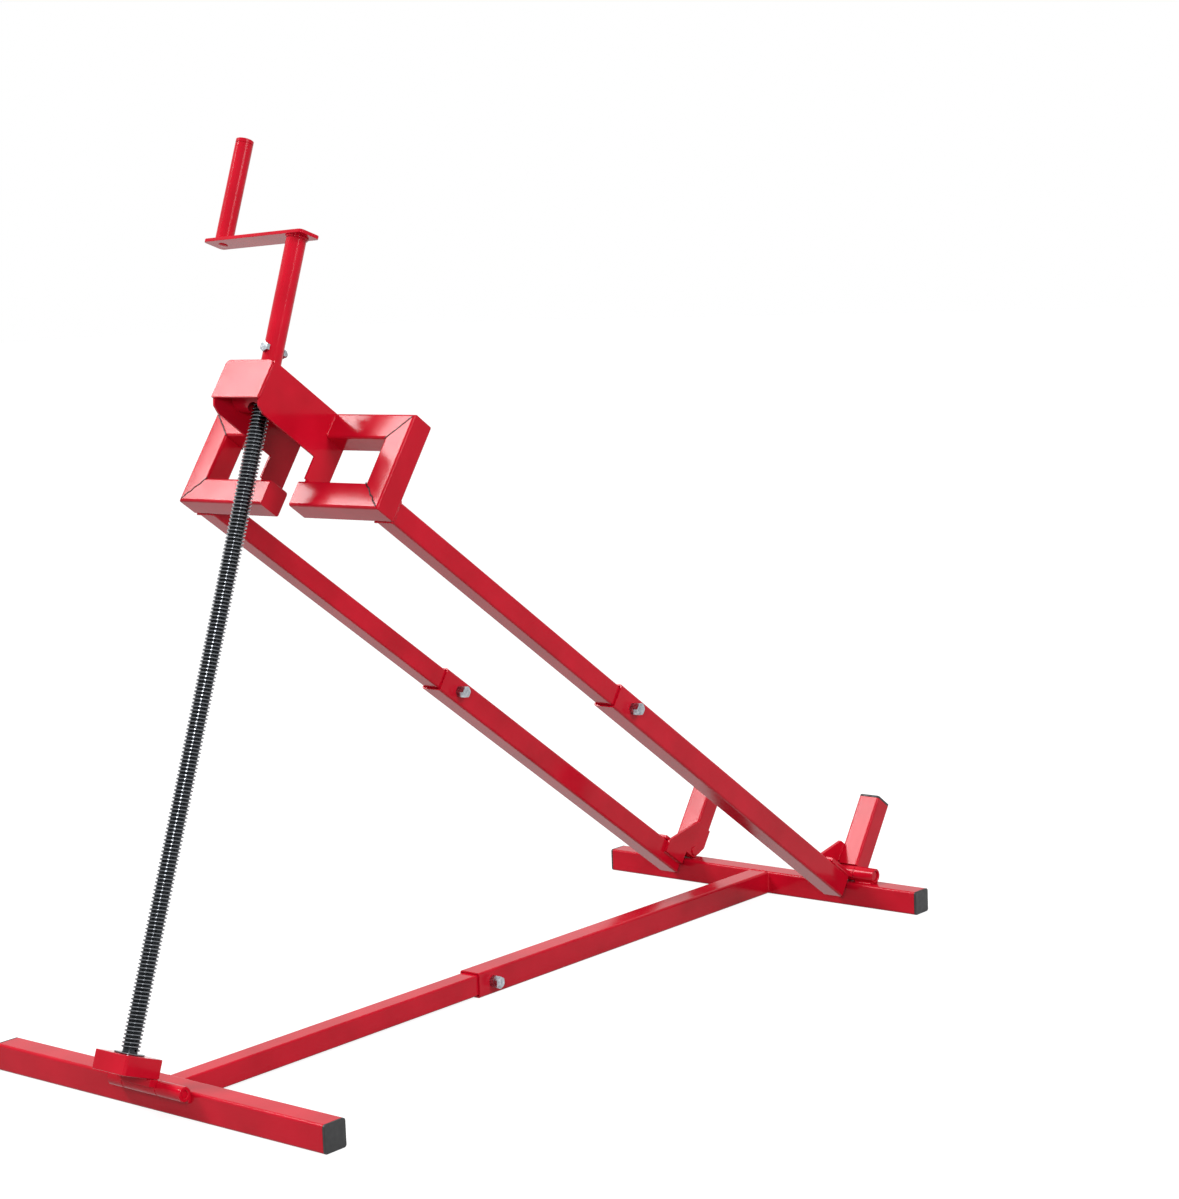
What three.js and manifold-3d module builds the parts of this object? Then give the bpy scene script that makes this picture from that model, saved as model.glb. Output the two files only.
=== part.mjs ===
import * as THREE from 'three';
import { mergeVertices } from 'three/addons/utils/BufferGeometryUtils.js';
import Module from 'manifold-3d';

const wasm = await Module();
wasm.setup();

// Axes: X runs across the lift, -Y is the front where the foot stands, +Z is up.
// Places are measured from the foot bar's front face, and the whole stands with its origin
// on the floor, midway across, under the middle of the foot bar.
// The lift stands raised, with its crank down on the nose.

// Square tubes
const TUBE = 30;
const TUBE_WALL = 2;
const TUBE_CORNER = 3;
const SLIDER = 25;
const SLIDER_WALL = 2;
const SLIDER_CORNER = 2.5;
const PLUG_FLANGE = 3;
const PLUG_DEPTH = 14;
const PLUG_FIT = 0.2;

// Floor frame
const BAR_LENGTH = 500;
const BASE_SHIFT = 4;
const BASE_SLEEVE_FRONT = 489;
const REAR_BAR_FRONT = 1074;
const BASE_OVERLAP = 130;

// Lift frame, measured up the slope from the rear hinge
const LIFT_ANGLE = THREE.MathUtils.degToRad(35);
const LIFT_WIDTH = 300;
const RAIL_START = 14.5;
const RAIL_SLEEVE_END = 576;
const RAIL_OVERLAP = 130;

// Rear hinge
const HINGE_RADIUS = 9.5;
const HINGE_RISE = 0.8;
const HINGE_PIN_RADIUS = 6;
const HINGE_BARREL = 30;
const HINGE_SEAT = 12;
const LEAF_THICKNESS = 5;
const LEAF_LENGTH = 62;
const PIN_REACH = 2;

// Wheel stops and the lugs that carry them
const STOP_REAR = 25;
const STOP_TOP = 110;
const STOP_LIFT = 0.5;
const LUG_THICKNESS = 5;
const LUG_LENGTH = 58;
const LUG_DROP = 26;
const LUG_RISE = 38;
const LUG_TOE = 12;
const LUG_HEEL = 8.5;

// Head frame that cradles the wheels
const HEAD_FRONT = 1037;
const HEAD_HEIGHT = 113.5;
const HEAD_DROP = 13;
const HEAD_SLOT = 42;

// Nose that carries the lifting nut
const NOSE_WIDTH = 70;
const NOSE_REACH = 108;
const NOSE_PLATE = 3;
const NOSE_DEPTH = 56.5;
const NOSE_END_DEPTH = 46;
const NOSE_CHIN = 4;
const NOSE_CHIN_RUN = 14;
const NOSE_FOOT_REACH = 4;
const NOSE_CORNER = 6;
const NOSE_SLOT_WIDTH = 24;
const NOSE_SLOT_FRONT = 23;
const NOSE_SLOT_REAR = 17;

// Lifting nut
const NUT_RADIUS = 18;
const NUT_BORE = 14.5;
const NUT_SET_BACK = 37;
const NUT_END_GAP = 0.3;
const NUT_HEAD_GAP = 1.5;

// Lead screw and its swivel on the foot
const SCREW_RADIUS = 10;
const JOURNAL_RADIUS = 8;
const SCREW_OFFSET = 28;
const SWIVEL_RADIUS = 8;
const SWIVEL_PIN_RADIUS = 4;
const SWIVEL_FACE_GAP = 0.5;
const SWIVEL_BARREL = 110;
const SWIVEL_SHIFT = 7;
const SWIVEL_MOVING = 50;
const SWIVEL_PAD = 16;
const SWIVEL_SEAT = 10;
const SWIVEL_SHY = 1;
const BLOCK_WIDTH = 50;
const BLOCK_HEIGHT = 20.3;
const THRUST_RADIUS = 16;
const THRUST_THICKNESS = 1.5;
const THRUST_FIT = 0.6;
const COLLAR_RADIUS = 12;
const COLLAR_THICKNESS = 4;
const SCREW_TIP = 1;

// Crank
const CRANK_RADIUS = 11;
const CRANK_LIFT = 5;
const CRANK_LENGTH = 147;
const CRANK_GRASP = 60;
const CRANK_THROW = 127;
const CRANK_TURN = 5.5;
const ARM_TIP = 19;
const ARM_HEEL = 22;
const ARM_WIDTH = 28;
const ARM_CORNER = 5;
const ARM_THICKNESS = 4;
const GRIP_RADIUS = 10;
const GRIP_LENGTH = 117;
const GRIP_BORE = 7.8;
const GRIP_FLOOR = 8;
const SPINDLE_RADIUS = 5;
const SPINDLE_HEAD_RADIUS = 7;
const SPINDLE_HEAD = 5;
const SPINDLE_SHY = 5;

// Bolts
const BOLT_RADIUS = 4;
const BOLT_HEAD_RADIUS = 7.5;
const BOLT_HEAD = 5.3;
const WELD_NUT = 6.5;
const BASE_BOLT_BACK = 24;
const RAIL_BOLT_BACK = 33;
const CRANK_BOLT_RADIUS = 3;
const CRANK_BOLT_HEAD_RADIUS = 5.8;
const CRANK_BOLT_HEAD = 4;
const CRANK_BOLT_UP = 22;
const CRANK_BOLT_SHOW = 4;

// Clearances and cutting allowances
const RUN_GAP = 0.3;
const SEAT_GAP = 0.2;
const PRESS_GAP = 0.05;
const PAST = 1;

// Derived heights and places
const half = (size) => size / 2;
const hingeY = REAR_BAR_FRONT + half(TUBE);
const hingeZ = TUBE + HINGE_RADIUS + HINGE_RISE;
const railDrop = HINGE_RADIUS + half(TUBE);
const railSide = half(LIFT_WIDTH) - half(TUBE);
const headRear = HEAD_FRONT - TUBE;
const headLow = -railDrop - HEAD_DROP;
const headTop = headLow + HEAD_HEIGHT;
const noseFront = HEAD_FRONT + NOSE_REACH;
const nutAlong = noseFront - NUT_SET_BACK;
const nutHeight = headTop - NOSE_PLATE - NUT_HEAD_GAP - NUT_RADIUS;
const swivelY = -SWIVEL_RADIUS - SWIVEL_FACE_GAP;
const swivelZ = TUBE;

// The screw's lean is the one that carries its axis through the nut's pivot.
const nutY = hingeY - nutAlong * Math.cos(LIFT_ANGLE) + nutHeight * Math.sin(LIFT_ANGLE);
const nutZ = hingeZ + nutAlong * Math.sin(LIFT_ANGLE) + nutHeight * Math.cos(LIFT_ANGLE);
const nutSpan = Math.hypot(nutY - swivelY, nutZ - swivelZ);
const lean = Math.atan2(nutY - swivelY, nutZ - swivelZ) + Math.asin(SCREW_OFFSET / nutSpan);
const nutReach = Math.sqrt(nutSpan ** 2 - SCREW_OFFSET ** 2);
const crankLow = nutReach + (headTop - nutHeight + CRANK_LIFT) / Math.cos(LIFT_ANGLE - lean);
const crankTop = crankLow + CRANK_LENGTH;

// The lift is one group, and the pieces that lean or turn stand in groups of their own.
const lift = new THREE.Group();
lift.name = 'lawn_mower_lift';
const stand = new THREE.Group();
stand.position.set(0, -half(TUBE), 0);
lift.add(stand);

/** Group inside the stand whose origin is (0, y, z), leaning back by an angle. */
function leaning(y, z, angle) {
  const group = new THREE.Group();
  group.position.set(0, y, z);
  group.rotation.x = -angle;
  stand.add(group);
  return group;
}

const liftFrame = leaning(hingeY, hingeZ, LIFT_ANGLE);
const screwFrame = leaning(swivelY, swivelZ, lean);
const nutFrame = leaning(nutY, nutZ, lean);

// Finishes
const FINISHES = {
  paint: { color: 0xc8102e, roughness: 0.3, metalness: 0.0 },
  plastic: { color: 0x17181a, roughness: 0.55, metalness: 0.0 },
  zinc: { color: 0xc9ccd0, roughness: 0.3, metalness: 1.0 },
  steel: { color: 0x4a4a4d, roughness: 0.4, metalness: 1.0 },
};

/** Turns a three.js geometry into a solid that can be cut and joined. */
function solid(geometry) {
  geometry.deleteAttribute('normal');
  geometry.deleteAttribute('uv');
  const merged = mergeVertices(geometry, 1e-4);
  return new wasm.Manifold(new wasm.Mesh({
    numProp: 3,
    vertProperties: Float32Array.from(merged.attributes.position.array),
    triVerts: Uint32Array.from(merged.index.array),
  }));
}

/** Box between low and high values on each axis. */
function block([xLow, xHigh], [yLow, yHigh], [zLow, zHigh]) {
  const box = new THREE.BoxGeometry(xHigh - xLow, yHigh - yLow, zHigh - zLow);
  box.translate((xLow + xHigh) / 2, (yLow + yHigh) / 2, (zLow + zHigh) / 2);
  return solid(box);
}

/** Round bar along X about the line through (y, z). */
function barX(radius, [xLow, xHigh], y, z, sides = 32) {
  const bar = new THREE.CylinderGeometry(radius, radius, xHigh - xLow, sides);
  bar.rotateZ(Math.PI / 2);
  bar.translate((xLow + xHigh) / 2, y, z);
  return solid(bar);
}

/** Round bar along Z about the line through (x, y). */
function barZ(radius, [zLow, zHigh], x, y, sides = 32) {
  const bar = new THREE.CylinderGeometry(radius, radius, zHigh - zLow, sides);
  bar.rotateX(Math.PI / 2);
  bar.translate(x, y, (zLow + zHigh) / 2);
  return solid(bar);
}

/** Adds a rounded square of the given size to a path. */
function roundedSquare(path, size, corner) {
  const side = half(size);
  const inner = side - corner;
  path.moveTo(inner, -side);
  path.absarc(inner, -inner, corner, -Math.PI / 2, 0);
  path.absarc(inner, inner, corner, 0, Math.PI / 2);
  path.absarc(-inner, inner, corner, Math.PI / 2, Math.PI);
  path.absarc(-inner, -inner, corner, Math.PI, 1.5 * Math.PI);
  path.closePath();
  return path;
}

/** Solid square bar with rounded corners along Z, from zero up to its length. */
function squareBar(size, corner, length) {
  const shape = roundedSquare(new THREE.Shape(), size, corner);
  return new THREE.ExtrudeGeometry(shape, { depth: length, bevelEnabled: false, curveSegments: 3 });
}

/** Turns a bar that runs along Z so that it runs along the named axis, and moves it. */
function laid(geometry, axis, x, y, z) {
  if (axis === 'x') geometry.rotateY(Math.PI / 2);
  if (axis === 'y') geometry.rotateX(-Math.PI / 2);
  geometry.translate(x, y, z);
  return solid(geometry);
}

/** Square tube with open ends, from (x, y, z) along the named axis. */
function squareTube(size, wall, corner, length, axis, x, y, z) {
  const outside = laid(squareBar(size, corner, length), axis, x, y, z);
  const [dx, dy, dz] = ['x', 'y', 'z'].map((name) => (name === axis ? PAST : 0));
  const hollow = squareBar(size - 2 * wall, corner - wall, length + 2 * PAST);
  return outside.subtract(laid(hollow, axis, x - dx, y - dy, z - dz));
}

/** Plate standing across X, cut to an outline of [y, z] points. */
function plateX(points, [xLow, xHigh]) {
  const shape = new THREE.Shape(points.map(([y, z]) => new THREE.Vector2(y, z)));
  const plate = new THREE.ExtrudeGeometry(shape, { depth: xHigh - xLow, bevelEnabled: false });
  const turn = new THREE.Matrix4().makeBasis(
    new THREE.Vector3(0, 1, 0), new THREE.Vector3(0, 0, 1), new THREE.Vector3(1, 0, 0));
  plate.applyMatrix4(turn);
  plate.translate(xLow, 0, 0);
  return solid(plate);
}

/** Plate lying across Y, cut to an outline of [x, z] points. */
function plateY(shape, [yLow, yHigh]) {
  const plate = new THREE.ExtrudeGeometry(shape, {
    depth: yHigh - yLow, bevelEnabled: false, curveSegments: 6,
  });
  plate.rotateX(Math.PI / 2);
  plate.translate(0, yHigh, 0);
  return solid(plate);
}

/** Shape through a list of [x, z] points. */
function outline(points) {
  return new THREE.Shape(points.map(([x, z]) => new THREE.Vector2(x, z)));
}

/** Adds one finished piece to the group that carries it. */
function add(name, piece, finish, group = stand) {
  const mesh = piece.getMesh();
  const geometry = new THREE.BufferGeometry();
  geometry.setAttribute('position', new THREE.BufferAttribute(Float32Array.from(mesh.vertProperties), 3));
  geometry.setIndex(new THREE.BufferAttribute(Uint32Array.from(mesh.triVerts), 1));
  const faceted = geometry.toNonIndexed();
  faceted.computeVertexNormals();
  const part = new THREE.Mesh(faceted, new THREE.MeshStandardMaterial(FINISHES[finish]));
  part.name = name;
  group.add(part);
}

/** Square bar tube across the lift, at the given front face. */
function crossBar(yFront) {
  const length = BAR_LENGTH - 2 * PLUG_FLANGE;
  return squareTube(TUBE, TUBE_WALL, TUBE_CORNER, length, 'x', -half(length), yFront + half(TUBE), half(TUBE));
}

/** End plug of a cross bar; side is +1 on the right and -1 on the left. */
function crossPlug(side, yFront) {
  const y = yFront + half(TUBE);
  const end = half(BAR_LENGTH);
  const cap = laid(squareBar(TUBE, TUBE_CORNER, PLUG_FLANGE), 'x',
    side > 0 ? end - PLUG_FLANGE : -end, y, half(TUBE));
  const spigot = TUBE - 2 * TUBE_WALL - 2 * PLUG_FIT;
  const stem = laid(squareBar(spigot, TUBE_CORNER - TUBE_WALL, PLUG_DEPTH + PAST), 'x',
    side > 0 ? end - PLUG_FLANGE - PLUG_DEPTH : -end + PLUG_FLANGE - PAST, y, half(TUBE));
  return cap.add(stem);
}

/** Nut welded on the face towards +X, at the face's X. */
function weldNut(face, y, z) {
  return barX(BOLT_HEAD_RADIUS, [face, face + WELD_NUT], y, z, 6)
    .subtract(barX(BOLT_RADIUS + RUN_GAP, [face - PAST, face + WELD_NUT + PAST], y, z, 24));
}

/** Clamp bolt through a weld nut, ending just short of the sliding tube. */
function clampBolt(face, y, z, depth) {
  const seat = face + WELD_NUT;
  return barX(BOLT_HEAD_RADIUS, [seat, seat + BOLT_HEAD], y, z, 6)
    .add(barX(BOLT_RADIUS, [face - depth + RUN_GAP, seat + PAST], y, z, 24));
}

// Floor frame: rear bar, its plugs, and the long sleeve that reaches forward
const wallFit = half(TUBE) - half(SLIDER);
const baseBoltY = BASE_SLEEVE_FRONT + BASE_BOLT_BACK;
const baseFace = BASE_SHIFT + half(TUBE);
add('rear_bar', crossBar(REAR_BAR_FRONT), 'paint');
add('rear_plug_right', crossPlug(1, REAR_BAR_FRONT), 'plastic');
add('rear_plug_left', crossPlug(-1, REAR_BAR_FRONT), 'plastic');
add('base_sleeve', squareTube(TUBE, TUBE_WALL, TUBE_CORNER, REAR_BAR_FRONT - BASE_SLEEVE_FRONT, 'y',
  BASE_SHIFT, BASE_SLEEVE_FRONT, half(TUBE))
  .subtract(barX(BOLT_RADIUS + RUN_GAP, [BASE_SHIFT, baseFace + PAST], baseBoltY, half(TUBE), 24)), 'paint');
add('base_weld_nut', weldNut(baseFace, baseBoltY, half(TUBE)), 'zinc');
add('base_clamp_bolt', clampBolt(baseFace, baseBoltY, half(TUBE), wallFit), 'zinc');

// Fixed halves of the rear hinge, and the pins they hold
for (const [name, side] of [['right', 1], ['left', -1]]) {
  const inner = half(LIFT_WIDTH) + RUN_GAP;
  const span = side > 0 ? [inner, inner + HINGE_BARREL] : [-inner - HINGE_BARREL, -inner];
  const bore = [span[0] - PAST, span[1] + PAST];
  add(`hinge_barrel_${name}`, barX(HINGE_RADIUS, span, hingeY, hingeZ)
    .add(block(span, [hingeY - half(HINGE_SEAT), hingeY + half(HINGE_SEAT)], [TUBE, hingeZ]))
    .subtract(barX(HINGE_PIN_RADIUS + PRESS_GAP, bore, hingeY, hingeZ)), 'paint');
  const near = half(LIFT_WIDTH) - TUBE - LUG_THICKNESS - PIN_REACH;
  const far = inner + HINGE_BARREL - PIN_REACH;
  add(`hinge_pin_${name}`, barX(HINGE_PIN_RADIUS, side > 0 ? [near, far] : [-far, -near], hingeY, hingeZ), 'paint');
}

// Front foot with the tube that slides in the base sleeve
add('foot_bar', crossBar(0), 'paint');
add('foot_plug_right', crossPlug(1, 0), 'plastic');
add('foot_plug_left', crossPlug(-1, 0), 'plastic');
add('base_slider', squareTube(SLIDER, SLIDER_WALL, SLIDER_CORNER,
  BASE_SLEEVE_FRONT + BASE_OVERLAP - TUBE, 'y', BASE_SHIFT, TUBE, half(TUBE)), 'paint');

// Swivel hinge along the foot's front edge: two fixed barrels and a moving one between
const swivelRight = SWIVEL_SHIFT + half(SWIVEL_BARREL);
const swivelLeft = SWIVEL_SHIFT - half(SWIVEL_BARREL);
const movingSpan = [-half(SWIVEL_MOVING), half(SWIVEL_MOVING)];
for (const [name, span] of [
  ['right', [movingSpan[1] + RUN_GAP, swivelRight]], ['left', [swivelLeft, movingSpan[0] - RUN_GAP]]]) {
  const bore = [span[0] - PAST, span[1] + PAST];
  add(`swivel_barrel_${name}`, barX(SWIVEL_RADIUS, span, swivelY, swivelZ, 24)
    .add(block(span, [swivelY, 0], [swivelZ - SWIVEL_SEAT, swivelZ]))
    .subtract(barX(SWIVEL_PIN_RADIUS + PRESS_GAP, bore, swivelY, swivelZ, 24)), 'paint');
}
add('swivel_pin', barX(SWIVEL_PIN_RADIUS, [swivelLeft + SWIVEL_SHY, swivelRight - SWIVEL_SHY],
  swivelY, swivelZ, 24), 'paint');

// Swivel block that carries the foot of the screw, with a recess below for the screw's collar
const blockLow = SWIVEL_RADIUS + SEAT_GAP;
const blockTop = blockLow + BLOCK_HEIGHT;
const collarLow = blockLow + RUN_GAP;
const collarTop = collarLow + COLLAR_THICKNESS;
const screwBore = (radius, low, high) => barZ(radius, [low - PAST, high + PAST], 0, -SCREW_OFFSET);
add('swivel_block', block([-half(BLOCK_WIDTH), half(BLOCK_WIDTH)],
  [-SCREW_OFFSET - half(BLOCK_WIDTH), -SCREW_OFFSET + half(BLOCK_WIDTH)], [blockLow, blockTop])
  .subtract(screwBore(JOURNAL_RADIUS + RUN_GAP, blockLow, blockTop))
  .subtract(barZ(COLLAR_RADIUS + RUN_GAP, [blockLow - PAST, collarTop + RUN_GAP], 0, -SCREW_OFFSET)),
'paint', screwFrame);
add('swivel_barrel_moving', barX(SWIVEL_RADIUS, movingSpan, 0, 0, 24)
  .add(block(movingSpan, [-SWIVEL_PAD, 0], [0, SWIVEL_RADIUS]))
  .subtract(barX(SWIVEL_PIN_RADIUS + RUN_GAP, [movingSpan[0] - PAST, movingSpan[1] + PAST], 0, 0, 24)),
'paint', screwFrame);
const thrustLow = blockTop + SEAT_GAP;
add('thrust_washer', barZ(THRUST_RADIUS, [thrustLow, thrustLow + THRUST_THICKNESS], 0, -SCREW_OFFSET, 48)
  .subtract(screwBore(JOURNAL_RADIUS + THRUST_FIT, thrustLow, thrustLow + THRUST_THICKNESS)),
'steel', screwFrame);

// Lead screw with the collar that keeps it in its block
const crankBoltUp = crankLow + CRANK_BOLT_UP;
const crankBoltBar = (radius, span, sides = 24) => barX(radius, span, 0, 0, sides)
  .rotate([0, 0, 90]).translate([0, -SCREW_OFFSET, crankBoltUp]);
const shoulders = [thrustLow + THRUST_THICKNESS + SEAT_GAP, crankLow - SEAT_GAP];
add('lead_screw', barZ(JOURNAL_RADIUS, [collarLow - SCREW_TIP, crankLow + CRANK_GRASP], 0, -SCREW_OFFSET)
  .add(barZ(SCREW_RADIUS, shoulders, 0, -SCREW_OFFSET))
  .subtract(crankBoltBar(CRANK_BOLT_RADIUS + SEAT_GAP, [-CRANK_RADIUS, CRANK_RADIUS])),
'steel', screwFrame);
add('screw_collar', barZ(COLLAR_RADIUS, [collarLow, collarTop], 0, -SCREW_OFFSET)
  .subtract(screwBore(JOURNAL_RADIUS + PRESS_GAP, collarLow, collarTop)), 'steel', screwFrame);

// Crank: tube over the screw's end, flat arm, and the spindle of its grip
add('crank_tube', barZ(CRANK_RADIUS, [crankLow, crankTop], 0, -SCREW_OFFSET)
  .subtract(screwBore(JOURNAL_RADIUS + SEAT_GAP, crankLow, crankTop))
  .subtract(crankBoltBar(CRANK_BOLT_RADIUS + SEAT_GAP, [-CRANK_RADIUS - PAST, CRANK_RADIUS + PAST])),
'paint', screwFrame);
const armLow = crankTop + SEAT_GAP;
const armTop = armLow + ARM_THICKNESS;
const armShape = new THREE.Shape();
const armSide = half(ARM_WIDTH) - ARM_CORNER;
const armNear = ARM_HEEL - ARM_CORNER;
const armFar = ARM_CORNER - CRANK_THROW - ARM_TIP;
armShape.moveTo(armNear, -half(ARM_WIDTH));
armShape.absarc(armNear, -armSide, ARM_CORNER, -Math.PI / 2, 0);
armShape.absarc(armNear, armSide, ARM_CORNER, 0, Math.PI / 2);
armShape.absarc(armFar, armSide, ARM_CORNER, Math.PI / 2, Math.PI);
armShape.absarc(armFar, -armSide, ARM_CORNER, Math.PI, 1.5 * Math.PI);
armShape.closePath();
const armPlate = new THREE.ExtrudeGeometry(armShape, {
  depth: ARM_THICKNESS, bevelEnabled: false, curveSegments: 8,
});
armPlate.translate(0, 0, armLow);
const crankTurned = (piece) => piece.rotate([0, 0, -CRANK_TURN]).translate([0, -SCREW_OFFSET, 0]);
add('crank_arm', crankTurned(solid(armPlate)), 'paint', screwFrame);
const gripLow = armTop + RUN_GAP;
const spindleLow = armTop + SEAT_GAP;
const spindleTop = gripLow + GRIP_LENGTH - SPINDLE_SHY;
add('grip_spindle', crankTurned(barZ(SPINDLE_RADIUS, [spindleLow, spindleTop], -CRANK_THROW, 0, 24)
  .add(barZ(SPINDLE_HEAD_RADIUS, [spindleTop - SPINDLE_HEAD, spindleTop], -CRANK_THROW, 0, 24))),
'steel', screwFrame);
const crankNutEnd = CRANK_RADIUS + CRANK_BOLT_HEAD;
add('crank_bolt', crankBoltBar(CRANK_BOLT_HEAD_RADIUS, [-crankNutEnd, -CRANK_RADIUS], 6)
  .add(crankBoltBar(CRANK_BOLT_RADIUS, [-CRANK_RADIUS - PAST, crankNutEnd + CRANK_BOLT_SHOW])), 'zinc', screwFrame);
add('crank_nut', crankBoltBar(CRANK_BOLT_HEAD_RADIUS, [CRANK_RADIUS, crankNutEnd], 6)
  .subtract(crankBoltBar(CRANK_BOLT_RADIUS + PRESS_GAP, [CRANK_RADIUS - PAST, crankNutEnd + PAST])), 'zinc', screwFrame);

// Grip tube that turns on the spindle
add('crank_grip', crankTurned(barZ(GRIP_RADIUS, [gripLow, gripLow + GRIP_LENGTH], -CRANK_THROW, 0)
  .subtract(barZ(GRIP_BORE, [gripLow + GRIP_FLOOR, gripLow + GRIP_LENGTH + PAST], -CRANK_THROW, 0))
  .subtract(barZ(SPINDLE_RADIUS + RUN_GAP, [gripLow - PAST, gripLow + GRIP_LENGTH], -CRANK_THROW, 0, 24))),
'paint', screwFrame);

// Lift frame and head, one of each side piece on the right and on the left
const railFace = half(LIFT_WIDTH);
const railBoltAlong = RAIL_SLEEVE_END - RAIL_BOLT_BACK;
const lugInner = railFace - TUBE - LUG_THICKNESS;
const lugOuter = railFace - TUBE;
const leafLow = -HINGE_RADIUS + SEAT_GAP;
for (const [name, side] of [['right', 1], ['left', -1]]) {
  const spanOf = (low, high) => (side > 0 ? [low, high] : [-high, -low]);
  const x = side * railSide;
  const inside = railFace - TUBE;

  const boltFace = x + half(TUBE);
  add(`rail_sleeve_${name}`, squareTube(TUBE, TUBE_WALL, TUBE_CORNER, RAIL_SLEEVE_END - RAIL_START, 'y',
    x, -RAIL_SLEEVE_END, -railDrop)
    .subtract(barX(BOLT_RADIUS + RUN_GAP, [x, boltFace + PAST], -railBoltAlong, -railDrop, 24)), 'paint', liftFrame);
  add(`rail_weld_nut_${name}`, weldNut(boltFace, -railBoltAlong, -railDrop), 'zinc', liftFrame);
  add(`rail_clamp_bolt_${name}`, clampBolt(boltFace, -railBoltAlong, -railDrop, wallFit), 'zinc', liftFrame);

  const barrel = spanOf(inside, railFace);
  add(`lift_leaf_${name}`, barX(HINGE_RADIUS, barrel, 0, 0)
    .add(block(barrel, [-LEAF_LENGTH, 0], [leafLow, leafLow + LEAF_THICKNESS]))
    .subtract(barX(HINGE_PIN_RADIUS + RUN_GAP, spanOf(inside - PAST, railFace + PAST), 0, 0)),
  'paint', liftFrame);

  const lugPoints = [[-RAIL_START - PAST, -LUG_DROP], [-LUG_LENGTH, -LUG_DROP], [-LUG_LENGTH, -HINGE_RADIUS],
    [-LUG_TOE, LUG_RISE], [STOP_REAR - LUG_THICKNESS, LUG_RISE], [STOP_REAR - LUG_THICKNESS, LUG_TOE],
    [LUG_TOE, 0], [half(HINGE_RADIUS), -LUG_HEEL], [-RAIL_START - PAST, -LUG_HEEL]];
  add(`hinge_lug_${name}`, plateX(lugPoints, spanOf(lugInner, lugOuter))
    .subtract(barX(HINGE_PIN_RADIUS + RUN_GAP, spanOf(lugInner - PAST, lugOuter + PAST), 0, 0)),
  'paint', liftFrame);

  const stopY = STOP_REAR - half(TUBE);
  add(`wheel_stop_${name}`, squareTube(TUBE, TUBE_WALL, TUBE_CORNER,
    STOP_TOP - HINGE_RADIUS - STOP_LIFT - PLUG_FLANGE, 'z', x, stopY, HINGE_RADIUS + STOP_LIFT), 'paint', liftFrame);
  const stopCap = STOP_TOP - PLUG_FLANGE + SEAT_GAP;
  const spigot = TUBE - 2 * TUBE_WALL - 2 * PLUG_FIT;
  add(`stop_plug_${name}`, laid(squareBar(TUBE, TUBE_CORNER, PLUG_FLANGE), 'z', x, stopY, stopCap)
    .add(laid(squareBar(spigot, TUBE_CORNER - TUBE_WALL, PLUG_DEPTH + PAST), 'z', x, stopY,
      stopCap - PLUG_DEPTH)), 'plastic', liftFrame);

  // Head: sliding rail, mitred square frame and cheek
  const sliderStart = RAIL_SLEEVE_END - RAIL_OVERLAP;
  add(`rail_slider_${name}`, squareTube(SLIDER, SLIDER_WALL, SLIDER_CORNER,
    headRear - SEAT_GAP - sliderStart, 'y', x, -headRear + SEAT_GAP, -railDrop), 'paint', liftFrame);

  const depth = [-HEAD_FRONT, -headRear];
  const hollowDepth = [-HEAD_FRONT + TUBE_WALL, -headRear - TUBE_WALL];
  const lowInner = headLow + TUBE;
  const topInner = headTop - TUBE;
  const mitre = SEAT_GAP;
  const member = (points, hollowX, hollowZ) => {
    const bar = plateY(outline(points.map(([px, pz]) => [side * px, pz])), depth);
    return bar.subtract(block(spanOf(...hollowX), hollowDepth, hollowZ));
  };
  add(`outer_post_${name}`, member(
    [[inside, lowInner + mitre], [railFace, headLow + mitre], [railFace, headTop - mitre], [inside, topInner - mitre]],
    [inside + TUBE_WALL, railFace - TUBE_WALL], [headLow - PAST, headTop + PAST]), 'paint', liftFrame);
  add(`top_member_${name}`, member(
    [[half(NOSE_WIDTH), topInner], [inside, topInner], [railFace, headTop], [half(NOSE_WIDTH), headTop]],
    [half(NOSE_WIDTH) - PAST, railFace + PAST], [topInner + TUBE_WALL, headTop - TUBE_WALL]), 'paint', liftFrame);
  add(`bottom_member_${name}`, member(
    [[half(HEAD_SLOT), headLow], [railFace, headLow], [inside, lowInner], [half(HEAD_SLOT), lowInner]],
    [half(HEAD_SLOT) + TUBE_WALL, railFace + PAST], [headLow + TUBE_WALL, lowInner - TUBE_WALL]), 'paint', liftFrame);

  const cheekLow = headTop - NOSE_DEPTH;
  const cheekEnd = noseFront - NOSE_PLATE - SEAT_GAP;
  const cheekFoot = lowInner + SEAT_GAP;
  const cheekPoints = [[-headRear, cheekFoot], [-HEAD_FRONT - NOSE_FOOT_REACH, cheekFoot],
    [-HEAD_FRONT - NOSE_FOOT_REACH, cheekLow], [-cheekEnd + NOSE_CHIN_RUN, cheekLow],
    [-cheekEnd + NOSE_CHIN, cheekLow + NOSE_CHIN], [-cheekEnd, headTop - NOSE_END_DEPTH],
    [-cheekEnd, headTop], [-headRear, headTop]];
  add(`nose_cheek_${name}`, plateX(cheekPoints, spanOf(half(NOSE_WIDTH) - NOSE_PLATE, half(NOSE_WIDTH))),
    'paint', liftFrame);
}

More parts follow.
